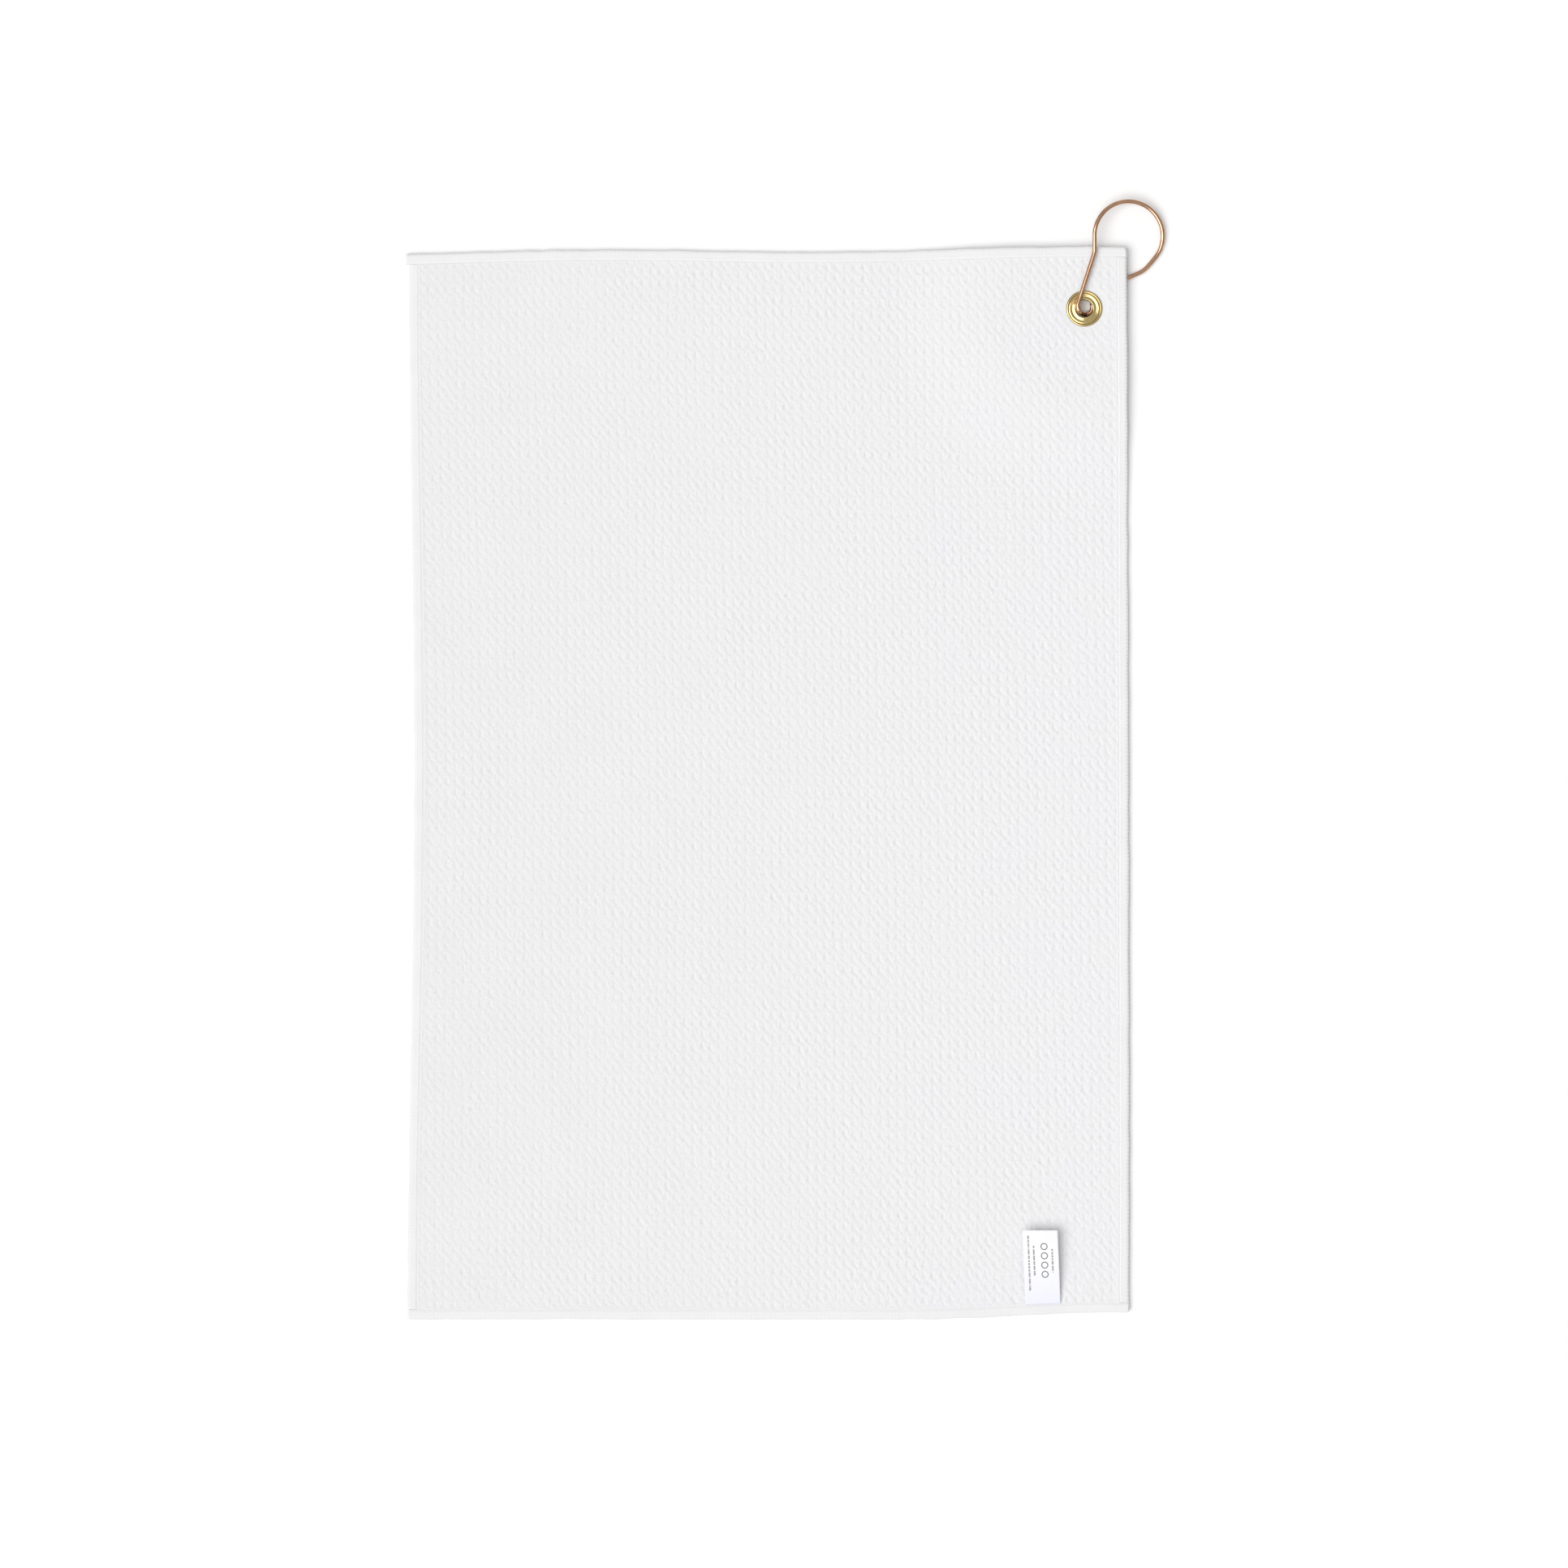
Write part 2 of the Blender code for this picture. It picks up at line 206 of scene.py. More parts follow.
def cloth_material():
    """Brushed microfibre waffle: soft fibre fluff over the relief, painted shade down in the pits, and painted shade
    across the cloth, darker at the left.
    """
    mat, tree, shader = new_material("waffle_cloth")
    where = node(tree, "ShaderNodeTexCoord").outputs["Object"]
    hollow_shade = node(tree, "ShaderNodeAttribute", {"attribute_name": "hollow_shade"}).outputs["Fac"]
    side = node(tree, "ShaderNodeSeparateXYZ", Vector=where)
    # painted shade: the cloth darker at the left, lighter and bluer at the right
    shade_across = map_range(tree, side.outputs["X"], -0.22, 0.22, 0.0, 1.0)
    base = mix_colour(tree, shade_across, CLOTH_SHADED_LEFT, CLOTH_LIT_RIGHT)
    blotch = noise(tree, where, 26.0, 3.0, 0.55)
    base = mix_colour(tree, map_range(tree, blotch, 0.35, 0.65, 0.0, 0.5), base, CLOTH_BLOTCH)
    fibre = noise(tree, where, 1500.0, 3.0, 0.7)
    speck = map_range(tree, fibre, 0.3, 0.7, 0.955, 1.02)
    grey = node(tree, "ShaderNodeCombineColor", Red=speck, Green=speck, Blue=speck).outputs[0]
    base = mix_colour(tree, 1.0, base, grey, "MULTIPLY")
    # painted shade: the cloth darker down in the pits of its relief
    base = mix_colour(tree, map_range(tree, hollow_shade, 0.0, 1.0, 0.0, PIT_SHADE_SHARE), base, CLOTH_PIT_SHADE)
    tree.links.new(base, shader.inputs["Base Color"])
    stretched = node(tree, "ShaderNodeMapping", Vector=where, Scale=(1.0, 0.55, 1.0)).outputs[0]
    pile = noise(tree, stretched, 2300.0, 4.0, 0.65)
    nap = noise(tree, where, 620.0, 2.0, 0.5)
    normal = bump(tree, nap, 0.00030, 0.70)
    normal = bump(tree, pile, 0.00016, 0.55, normal)
    tree.links.new(normal, shader.inputs["Normal"])
    set_shader(shader, Roughness=0.93, Specular_IOR_Level=0.15, Sheen_Weight=0.12, Sheen_Roughness=0.5)
    return mat


def thread_material(name, colour, ribs):
    """Polyester thread: fine twisted plies with a slight gloss, and painted shade in its creases."""
    mat, tree, shader = new_material(name)
    where = node(tree, "ShaderNodeTexCoord").outputs["Object"]
    fine = noise(tree, where, 2600.0, 3.0, 0.6)
    wide = noise(tree, where, 60.0, 2.0, 0.5)
    base = mix_colour(tree, map_range(tree, wide, 0.35, 0.65, 0.0, 1.0), colour, tuple(c * 0.975 for c in colour))
    crease_shade = node(tree, "ShaderNodeAttribute", {"attribute_name": "hollow_shade"}).outputs["Fac"]
    # painted shade: darker in the creases between ribs and at the gaps between stitches, as far as the share ribs
    base = mix_colour(tree, map_range(tree, crease_shade, 0.0, 1.0, 0.0, ribs), base, tuple(c * 0.62 for c in colour))
    tree.links.new(base, shader.inputs["Base Color"])
    tree.links.new(bump(tree, fine, 0.00006, 0.7), shader.inputs["Normal"])
    set_shader(shader, Roughness=0.62, Specular_IOR_Level=0.3, Sheen_Weight=0.1)
    return mat


def metal_material(name, colour, dark, roughness, turned):
    """Polished metal with faint drawing marks, or turning marks round the grommet, and a little tarnish."""
    mat, tree, shader = new_material(name)
    where = node(tree, "ShaderNodeTexCoord").outputs["Object"]
    tarnish = noise(tree, where, 130.0, 4.0, 0.6)
    base = mix_colour(tree, map_range(tree, tarnish, 0.42, 0.72, 0.0, 0.55), colour, dark)
    tree.links.new(base, shader.inputs["Base Color"])
    if turned:
        spot = node(tree, "ShaderNodeMapping", Vector=where, Location=(-grommet_x, -grommet_y, 0)).outputs[0]
        flat = node(tree, "ShaderNodeSeparateXYZ", Vector=spot).outputs
        radius = reach(tree, flat["X"], flat["Y"])
        line = node(tree, "ShaderNodeCombineXYZ", X=radius, Y=flat["Z"]).outputs[0]
        marks = noise(tree, line, 9000.0, 2.0, 0.6)
    else:
        marks = noise(tree, where, 3800.0, 2.0, 0.6)
    worn = map_range(tree, tarnish, 0.3, 0.8, roughness * 0.75, roughness * 1.7)
    tree.links.new(worn, shader.inputs["Roughness"])
    tree.links.new(bump(tree, marks, 0.00001, 0.35), shader.inputs["Normal"])
    set_shader(shader, Metallic=1.0, Coat_Weight=0.5, Coat_Roughness=0.08)
    return mat


def band_mask(tree, value, low, high, soft=0.00008):
    """1 between two values and 0 outside them."""
    rise = map_range(tree, value, low - soft, low + soft, 0.0, 1.0)
    fall = map_range(tree, value, high - soft, high + soft, 1.0, 0.0)
    return maths(tree, "MULTIPLY", rise, fall)


# Generic print on the label: each broken bar's column, its low and high end and its seed, and a row of plain rings
bars = ((-0.0070, 0.0080, 0.0392, 3.0), (-0.0041, 0.0165, 0.0335, 11.0), (0.0063, 0.0180, 0.0315, 19.0))
bar_half_width, bar_ink = 0.00048, 0.74
ring_column, ring_places = 0.0018, (0.01705, 0.02235, 0.02765, 0.03295)
ring_inner, ring_outer = 0.00145, 0.00200
ink = 0.88


def label_marks(tree, across, along):
    """Three broken bars and four plain rings, in place of any words or symbols."""
    total = 0.0
    for column, low, high, seed in bars:
        line = node(tree, "ShaderNodeCombineXYZ", X=along, Y=seed).outputs[0]
        dashes = map_range(tree, noise(tree, line, 1150.0, 0.0, 0.5), 0.40, 0.46, 0.0, 1.0)
        bar = band_mask(tree, across, column - bar_half_width, column + bar_half_width)
        bar = maths(tree, "MULTIPLY", bar, dashes)
        bar = maths(tree, "MULTIPLY", bar, band_mask(tree, along, low, high))
        total = maths(tree, "MAXIMUM", total, maths(tree, "MULTIPLY", bar, bar_ink))
    for place in ring_places:
        far = reach(tree, maths(tree, "SUBTRACT", across, ring_column), maths(tree, "SUBTRACT", along, place))
        total = maths(tree, "MAXIMUM", total, band_mask(tree, far, ring_inner, ring_outer))
    return maths(tree, "MULTIPLY", total, ink)


def label_material():
    """Satin ribbon: a fine plain weave, a lavender tint low down, and the generic print on its front."""
    mat, tree, shader = new_material("label_ribbon")
    uv = node(tree, "ShaderNodeAttribute", {"attribute_name": "ribbon"}).outputs["Vector"]
    parts = node(tree, "ShaderNodeSeparateXYZ", Vector=uv)
    across, along, front = parts.outputs["X"], parts.outputs["Y"], parts.outputs["Z"]
    warp_yarn = node(tree, "ShaderNodeTexWave", {"bands_direction": "X"}, Vector=uv, Scale=900.0, Distortion=0.4)
    weft_yarn = node(tree, "ShaderNodeTexWave", {"bands_direction": "Y"}, Vector=uv, Scale=1300.0, Distortion=0.4)
    weave = maths(tree, "ADD", warp_yarn.outputs["Fac"], weft_yarn.outputs["Fac"])
    tint = map_range(tree, along, 0.001, 0.026, 1.0, 0.0)
    base = mix_colour(tree, tint, LABEL_WHITE, LABEL_TINT)
    base = mix_colour(tree, map_range(tree, weave, 0.2, 1.8, 0.12, 0.0), base, (0.6, 0.6, 0.64))
    marks = label_marks(tree, across, along)
    base = mix_colour(tree, maths(tree, "MULTIPLY", marks, front), base, (0.03, 0.03, 0.035))
    tree.links.new(base, shader.inputs["Base Color"])
    tree.links.new(bump(tree, weave, 0.00002, 0.6), shader.inputs["Normal"])
    set_shader(shader, Roughness=0.42, Sheen_Weight=0.2)
    return mat


# Painted shade across the cloth: its colour at the left, darker, and at the right, lighter and bluer
CLOTH_SHADED_LEFT = (0.767, 0.765, 0.764)
CLOTH_LIT_RIGHT = (0.794, 0.793, 0.811)
CLOTH_BLOTCH = (0.792, 0.791, 0.790)
# Painted shade down in the pits: its colour, and how far the deepest pits go towards it
CLOTH_PIT_SHADE = (0.62, 0.62, 0.63)
PIT_SHADE_SHARE = 0.16
LABEL_WHITE = (0.885, 0.885, 0.897)
LABEL_TINT = (0.79, 0.795, 0.895)

cloth_look = cloth_material()
seam_look = thread_material("overlock_thread", (0.806, 0.806, 0.813), 0.30)
stitch_look = thread_material("needle_thread", (0.812, 0.812, 0.818), 0.2)
brass_look = metal_material("grommet_brass", (0.66, 0.51, 0.225), (0.33, 0.235, 0.09), 0.12, True)
copper_look = metal_material("hook_wire", (0.63, 0.375, 0.235), (0.36, 0.185, 0.10), 0.14, False)
label_look = label_material()


# ---------------------------------------------------------------- mesh helpers
def build(name, verts, quads, look, uv=None, tris=()):
    """A smooth mesh from arrays. uv gives one place per corner of each face, in face order."""
    verts = np.asarray(verts, np.float32)
    quads = np.asarray(quads, np.int32).reshape(-1, 4)
    tris = np.asarray(tris, np.int32).reshape(-1, 3)
    mesh = bpy.data.meshes.new(name)
    loops = np.concatenate([quads.ravel(), tris.ravel()])
    starts = np.concatenate([np.arange(len(quads)) * 4, len(quads) * 4 + np.arange(len(tris)) * 3])
    mesh.vertices.add(len(verts))
    mesh.vertices.foreach_set("co", verts.ravel())
    mesh.loops.add(len(loops))
    mesh.loops.foreach_set("vertex_index", loops)
    mesh.polygons.add(len(starts))
    mesh.polygons.foreach_set("loop_start", starts.astype(np.int32))
    mesh.polygons.foreach_set("use_smooth", np.ones(len(starts), bool))
    mesh.update(calc_edges=True)
    if uv is not None:
        layer = mesh.uv_layers.new(name="OFBake")
        layer.data.foreach_set("uv", np.asarray(uv, np.float32).ravel())
    mesh.materials.append(look)
    mesh.validate()
    ob = bpy.data.objects.new(name, mesh)
    bpy.context.scene.collection.objects.link(ob)
    return ob


def point_data(ob, name, kind, key, values):
    made = ob.data.attributes.new(name, kind, "POINT")
    made.data.foreach_set(key, np.asarray(values, np.float32).ravel())


def zipper(one, other):
    """Steps along two rising lists of places side by side: yields whether it's the first list's turn, and both
    positions."""
    i = k = 0
    while i < len(one) - 1 or k < len(other) - 1:
        first_steps = k == len(other) - 1 or (i < len(one) - 1 and one[i + 1] <= other[k + 1])
        yield first_steps, i, k
        if first_steps:
            i += 1
        else:
            k += 1


def lane_uv(run, sides, lanes):
    """Each quad's two u and two v on a long thin strip, folded into lanes so that it fills a square."""
    at = run / run[-1] * lanes
    lane = np.minimum(np.floor((at[:-1] + at[1:]) / 2).astype(int), lanes - 1)
    across = np.arange(sides + 1) / (sides + 0.5) * 0.96
    u_low, u_high = (at[:-1] - lane)[:, None], (at[1:] - lane)[:, None]
    v_low, v_high = (lane[:, None] + across[:-1]) / lanes, (lane[:, None] + across[1:]) / lanes
    return u_low * 0.94 + 0.03, u_high * 0.94 + 0.03, v_low * 0.93 + 0.01, v_high * 0.93 + 0.01


def corner_uv(*corners):
    """(u, v) arrays of a quad's four corners as one array."""
    return np.stack([np.stack(np.broadcast_arrays(u, v), -1) for u, v in corners], -2).reshape(-1, 4, 2)


def line_lengths(points):
    """How far along a line each of its points is."""
    return np.concatenate([[0], np.cumsum(np.linalg.norm(np.diff(points, axis=0), axis=1))])


def cyclic_noise(rng, shape, cells):
    """Smooth noise on a grid of the given shape, with features about one cell in size."""
    rows, columns = max(2, int(cells[0])) + 3, max(2, int(cells[1])) + 3
    coarse = rng.standard_normal((rows, columns))
    y = np.linspace(0, rows - 3.001, shape[0])
    x = np.linspace(0, columns - 3.001, shape[1])

    def weights(t):
        f = t - np.floor(t)
        return f * f * (3 - 2 * f)

    yi, xi = np.floor(y).astype(int), np.floor(x).astype(int)
    wy, wx = weights(y)[:, None], weights(x)[None, :]
    a = coarse[np.ix_(yi, xi)] * (1 - wx) + coarse[np.ix_(yi, xi + 1)] * wx
    b = coarse[np.ix_(yi + 1, xi)] * (1 - wx) + coarse[np.ix_(yi + 1, xi + 1)] * wx
    return a * (1 - wy) + b * wy


# ---------------------------------------------------------------- the waffle cloth
pitch_x, pitch_y = 5.007 * mm, 6.614 * mm
relief_depth = 0.00038
under_depth = 0.00055

# The pattern's rows and columns lean by these many cells to a metre
lean_u, lean_v = 1.52, 5.4

# Fullness of the relief at the left and how much more there is at the right
fullness_left, fullness_gain = 0.70, 0.25

# Where the cloth goes into a seam, it is squeezed to this above or below the band's wall
seam_squeeze = 0.0006
plump = 0.00012

# The fine cloth's steps across and along, twice as wide underneath
weave_x, weave_y = 0.50 * mm, 0.58 * mm
hole_steps = 96
hole_margin = 0.0009


def blob(u, v, cu, cv, su, sv, turn):
    """A soft spot in a repeating cell, leaning by turn."""
    du = (u - cu + 0.5) % 1.0 - 0.5
    dv = (v - cv + 0.5) % 1.0 - 0.5
    x, y = du * pitch_x, dv * pitch_y
    c, s = math.cos(turn), math.sin(turn)
    a, b = (x * c + y * s) / (su * mm), (-x * s + y * c) / (sv * mm)
    return np.exp(-0.5 * (a * a + b * b))


# The spots that make one waffle cell: height, place in the cell across and up it, widths in mm, and lean in degrees
cell_spots = (
    (-0.64, 0.130, 0.560, 0.50, 0.92, 2),
    (-0.34, 0.140, 0.390, 0.66, 0.68, 0),
    (-0.28, 0.330, 0.215, 0.46, 1.15, 46),
    (-0.24, 0.560, 0.075, 0.38, 1.25, 58),
    (0.34, 0.655, 0.360, 0.60, 0.85, 0),
    (0.34, 0.330, 0.870, 0.42, 1.15, 40),
    (0.26, 0.880, 0.680, 0.45, 0.95, -14),
    (-0.12, 0.640, 0.800, 0.55, 0.75, 0),
)


def cell_height(u, v):
    """The relief of one waffle cell: a pit with two grooves from it, and a tip, a ridge and a lobe between pits."""
    return sum(height * blob(u, v, cu, cv, su, sv, math.radians(lean)) for height, cu, cv, su, sv, lean in cell_spots)


def waffle(x, y, rng):
    """Relief over a grid, in cells that drift and vary a little, as a knitted cloth's do, with fluff over them."""

    def vary(up=1.0, across=None):
        """Noise with this many features to a cell."""
        cells = (towel_length / pitch_y * up, towel_width / pitch_x * (across or up))
        return cyclic_noise(rng, x.shape, cells)

    drift_u = 0.10 * vary(1 / 9)
    drift_v = 0.10 * vary(1 / 9)
    drift_u += 0.045 * vary()
    drift_v += 0.045 * vary()
    u = x / pitch_x + lean_u * y + drift_u
    v = y / pitch_y + lean_v * x + drift_v
    depth = 1 + 0.20 * vary()
    depth += 0.10 * vary(1 / 6)
    h = 0.90 * cell_height(u, v) * np.clip(depth, 0.45, 1.6)
    h += 0.180 * vary(3.6, 3.0)
    h += 0.115 * vary(6.5, 5.0)
    h += 0.030 * rng.standard_normal(x.shape)
    return h


def cloth_lines(half, spacing):
    """Grid lines over the cloth, evenly spaced."""
    inner = half - tuck
    count = round(2 * inner / spacing)
    return np.linspace(-inner, inner, count + 1)


def cloth_sheet(spacing_x, spacing_y, seed, top):
    """One face of the cloth, as grids of places, heights and how deep in a pit each point is, which sets the painted
    shade in the pits.
    """
    rng = np.random.default_rng(seed)
    x, y = np.meshgrid(cloth_lines(half_width, spacing_x), cloth_lines(half_length, spacing_y))
    wx, wy = warp(x, y)
    base = lift(wx, wy)
    inset = np.minimum(half_width - np.abs(x), half_length - np.abs(y))
    inside = smooth((inset - (band_width - 0.9 * mm)) / (0.9 * mm))
    relief_in = smooth((inset - (band_width - 0.2 * mm)) / (1.9 * mm))
    away = np.hypot(wx - grommet_x, wy - grommet_y)
    open_out = smooth((away - flange_dia / 2 - 0.2 * mm) / (5.5 * mm))
    flat_out = smooth((away - flange_dia / 2 + 0.3 * mm) / (4.0 * mm))
    fullness = fullness_left + fullness_gain * smooth((x + 0.150) / 0.300)
    relief = waffle(x, y, rng) * relief_in * (0.25 + 0.75 * flat_out) * fullness
    if top:
        squeezed = band_thick - band_wall - seam_squeeze
        by_seam = plump * np.exp(-(((inset - band_width - 0.35 * mm) / (0.55 * mm)) ** 2))
        z = base + squeezed + (cloth_thick - squeezed) * inside + by_seam + relief_depth * relief
        z = (pinch_top + 0.5 * relief_depth * np.minimum(relief, 0)) * (1 - open_out) + z * open_out
    else:
        z = (band_wall + seam_squeeze) * (1 - inside) - under_depth * np.minimum(relief, 0)
        z = base + np.maximum(z + plump * np.clip(relief, 0, 1), floor_gap - 0.01 * mm)
        z = pinch_bottom * (1 - open_out) + z * open_out
    return x, y, wx, wy, z, np.clip(-relief - 0.10, 0, 1)


def over_hole(wx, wy):
    """Which grid cells the grommet's hole removes."""
    mid_x = (wx[:-1, :-1] + wx[1:, 1:]) / 2
    mid_y = (wy[:-1, :-1] + wy[1:, 1:]) / 2
    return np.hypot(mid_x - grommet_x, mid_y - grommet_y) < cloth_hole + hole_margin


def boundary_loop(cut):
    """The closed loop of grid points round the removed cells, anticlockwise."""
    present = set(zip(*(index.tolist() for index in np.nonzero(cut))))
    edges = {}
    for j, i in present:
        if (j - 1, i) not in present:
            edges[(j, i)] = (j, i + 1)
        if (j, i + 1) not in present:
            edges[(j, i + 1)] = (j + 1, i + 1)
        if (j + 1, i) not in present:
            edges[(j + 1, i + 1)] = (j + 1, i)
        if (j, i - 1) not in present:
            edges[(j + 1, i)] = (j, i)
    start = min(edges)
    loop, at = [start], edges[start]
    while at != start:
        loop.append(at)
        at = edges[at]
    return loop


def ring_strip(outer, outer_angles, inner, inner_angles):
    """Triangles between two anticlockwise loops of vertex numbers, matched by angle."""
    full = 2 * np.pi
    apart = (inner_angles - outer_angles[0] + np.pi) % full - np.pi
    first = int(np.argmin(np.abs(apart)))
    inner, inner_angles = np.roll(inner, -first).tolist(), np.roll(inner_angles, -first)
    outer_at = np.unwrap(np.append(outer_angles, outer_angles[0] + full))
    inner_at = np.unwrap(np.append(inner_angles, inner_angles[0] + full))
    inner_at += full * round((outer_at[0] - inner_at[0]) / full)
    outer, inner = outer + outer[:1], inner + inner[:1]
    tris = []
    for outer_steps, i, k in zipper(outer_at, inner_at):
        third = outer[i + 1] if outer_steps else inner[k + 1]
        tris.append((outer[i], third, inner[k]))
    return tris


def cloth_face(sheet, offset, top):
    """One face of the cloth round the grommet's hole: its points, faces, UVs, and the lines it is joined along."""
    x, y, wx, wy, z, hollow_shade = sheet
    rows, columns = z.shape
    grid = np.arange(rows * columns).reshape(rows, columns) + offset
    cut = over_hole(wx, wy)
    uv_left = 0.004 if top else 0.502
    u = uv_left + 0.488 * np.arange(columns) / (columns - 1)
    v = 0.004 + 0.735 * np.arange(rows) / (rows - 1)
    places = np.stack(np.meshgrid(u, v), -1)
    corners = [(slice(None, -1), slice(None, -1)), (slice(None, -1), slice(1, None)),
               (slice(1, None), slice(1, None)), (slice(1, None), slice(None, -1))]
    if not top:
        corners = [corners[0], corners[3], corners[2], corners[1]]
    quads = np.stack([grid[corner] for corner in corners], -1)[~cut]
    quad_uv = np.stack([places[corner] for corner in corners], 2)[~cut].reshape(-1, 2)

    # the collar, from the grid's cut to the round hole
    turn = np.linspace(-np.pi, np.pi, hole_steps, endpoint=False)
    ring = np.stack([np.cos(turn), np.sin(turn)], -1) * cloth_hole
    height = np.full((hole_steps, 1), pinch_top if top else pinch_bottom)
    points = np.concatenate([
        np.stack([wx, wy, z], -1).reshape(-1, 3),
        np.hstack([ring + (grommet_x, grommet_y), height]),
    ])
    near = int(np.argmin(np.abs(y[:, 0] - grommet_y))), int(np.argmin(np.abs(x[0] - grommet_x)))
    scale = (u[-1] - u[0]) / (x[0, -1] - x[0, 0]), (v[-1] - v[0]) / (y[-1, 0] - y[0, 0])
    all_uv = np.concatenate([places.reshape(-1, 2), places[near] + ring * scale])
    loop = boundary_loop(cut)
    angles = np.array([math.atan2(wy[at] - grommet_y, wx[at] - grommet_x) for at in loop])
    hole = [offset + rows * columns + k for k in range(hole_steps)]
    tris = ring_strip([int(grid[at]) for at in loop], angles, hole, turn)
    if not top:
        tris = [(p, r, q) for p, q, r in tris]
    tri_uv = [all_uv[p - offset] for tri in tris for p in tri]

    edges = grid[0, :-1], grid[:-1, -1], grid[-1, :0:-1], grid[:0:-1, 0]
    rim = np.concatenate(edges).tolist()
    share = np.concatenate([number + np.arange(len(edge)) / len(edge) for number, edge in enumerate(edges)])
    hollow_shades = np.append(hollow_shade.ravel(), np.zeros(hole_steps))
    return points, hollow_shades, quads, quad_uv, tris, tri_uv, (rim + rim[:1], np.append(share, 4.0)), hole


def towel_cloth():
    """A closed sheet: a fine grid on top, a coarser one underneath, joined at the rim and in the grommet's hole."""
    scale = 1.0
    points, hollow_shades, quads, quad_uv, tris, tri_uv, rims, holes = [], [], [], [], [], [], [], []
    offset = 0
    for coarse, seed, top in ((1, 7, True), (2, 11, False)):
        sheet = cloth_sheet(weave_x * scale * coarse, weave_y * scale * coarse, seed, top)
        face = cloth_face(sheet, offset, top)
        for kept, made in zip((points, hollow_shades, quads, quad_uv), face):
            kept.append(made)
        tris += face[4]
        tri_uv += face[5]
        rims.append(face[6])
        holes.append(face[7])
        offset += len(face[0])

    (top_rim, top_share), (low_rim, low_share) = rims
    top_u, low_u = top_share / 4 * 0.98 + 0.01, low_share / 4 * 0.98 + 0.01
    for top_steps, i, k in zipper(top_share, low_share):
        if top_steps:
            third, third_uv = top_rim[i + 1], (top_u[i + 1], 0.80)
        else:
            third, third_uv = low_rim[k + 1], (low_u[k + 1], 0.76)
        tris.append((top_rim[i], low_rim[k], third))
        tri_uv += [(top_u[i], 0.80), (low_u[k], 0.76), third_uv]

    upper, lower = (hole + hole[:1] for hole in holes)
    quads.append([(upper[k], upper[k + 1], lower[k + 1], lower[k]) for k in range(hole_steps)])
    wall_u = 0.02 + 0.3 * np.arange(hole_steps + 1) / hole_steps
    low, high = wall_u[:-1], wall_u[1:]
    quad_uv.append(corner_uv((low, 0.88), (high, 0.88), (high, 0.84), (low, 0.84)).reshape(-1, 2))
    uv = np.concatenate(quad_uv + [np.array(tri_uv)])
    ob = build("towel_cloth", np.concatenate(points), np.concatenate(quads), cloth_look, uv, tris)
    # the depth in the pits, which sets the painted shade there
    point_data(ob, "hollow_shade", "FLOAT", "value", np.concatenate(hollow_shades))
    return ob


cloth = towel_cloth()
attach(cloth, "towel")
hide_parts("towel_panel")


# ---------------------------------------------------------------- the overlock seams
def seam_ends(side):
    if side in ("left", "right"):
        return -half_length + band_width - 0.3 * mm, half_length - band_width + 0.3 * mm
    return -half_width - (corner_tail if side == "top" else 0), half_width


def edge_place(side, along, inset):
    """Cut-rectangle coordinates of a point at a distance in from one edge."""
    if side == "left":
        return -half_width + inset, along
    if side == "right":
        return half_width - inset, along
    if side == "top":
        return along, half_length - inset
    return along, -half_length + inset


def round_channel():
    """The C of a wrapped edge, as (inset, height, how much the threads stand proud), round from its upper mouth."""
    t, w = band_thick, band_wall
    outline = [
        (band_width, t - w, 0.0),
        (band_width + 0.00015, cloth_thick - 0.00012, 0.2),
        (band_width - 0.00020, cloth_thick + 0.00004, 0.6),
        (band_width - 0.00070, t - 0.00006, 0.9),
    ]
    outline += [(band_width * share, t, 1.0) for share in (0.76, 0.64, 0.52, 0.42, 0.33)]
    for angle in (78, 58, 36, 14, -14, -36, -58, -78):
        r = math.radians(angle)
        outline.append((t / 2 * (1 - math.cos(r)) * nose_bulge, t / 2 * (1 + math.sin(r)), 1.0))
    outline += [(band_width * share, 0.0, 1.0) for share in (0.34, 0.60, 0.88)]
    outline += [
        (band_width + 0.00015, 0.00012, 0.3),
        (band_width, w, 0.0),
        (band_nose, w, 0.0),
        (band_nose, t - w, 0.0),
    ]
    return outline


nose_bulge = 0.32
rib_pitch = 0.62 * mm
stitch_pitch = 2.2 * mm
rib_depth = 0.034 * mm
bead_depths = {"left": 0.10 * mm, "right": 0.27 * mm, "top": 0.11 * mm, "bottom": 0.16 * mm}
corner_round = 2.2 * mm
strip_lanes = 24


def swept(verts):
    """Quads between the stations of a swept closed profile, and the grid of its vertex numbers."""
    stations, profile = verts.shape[:2]
    grid = np.arange(stations * profile).reshape(stations, profile)
    ahead = np.roll(grid, -1, axis=1)
    return grid, np.stack([grid[:-1], grid[1:], ahead[1:], ahead[:-1]], -1).reshape(-1, 4)


def quarter_round(near, radius):
    """How far a corner of this radius cuts in, at a share of it from its start."""
    return radius * (1 - np.sqrt(1 - np.clip(near, 0, 1) ** 2))


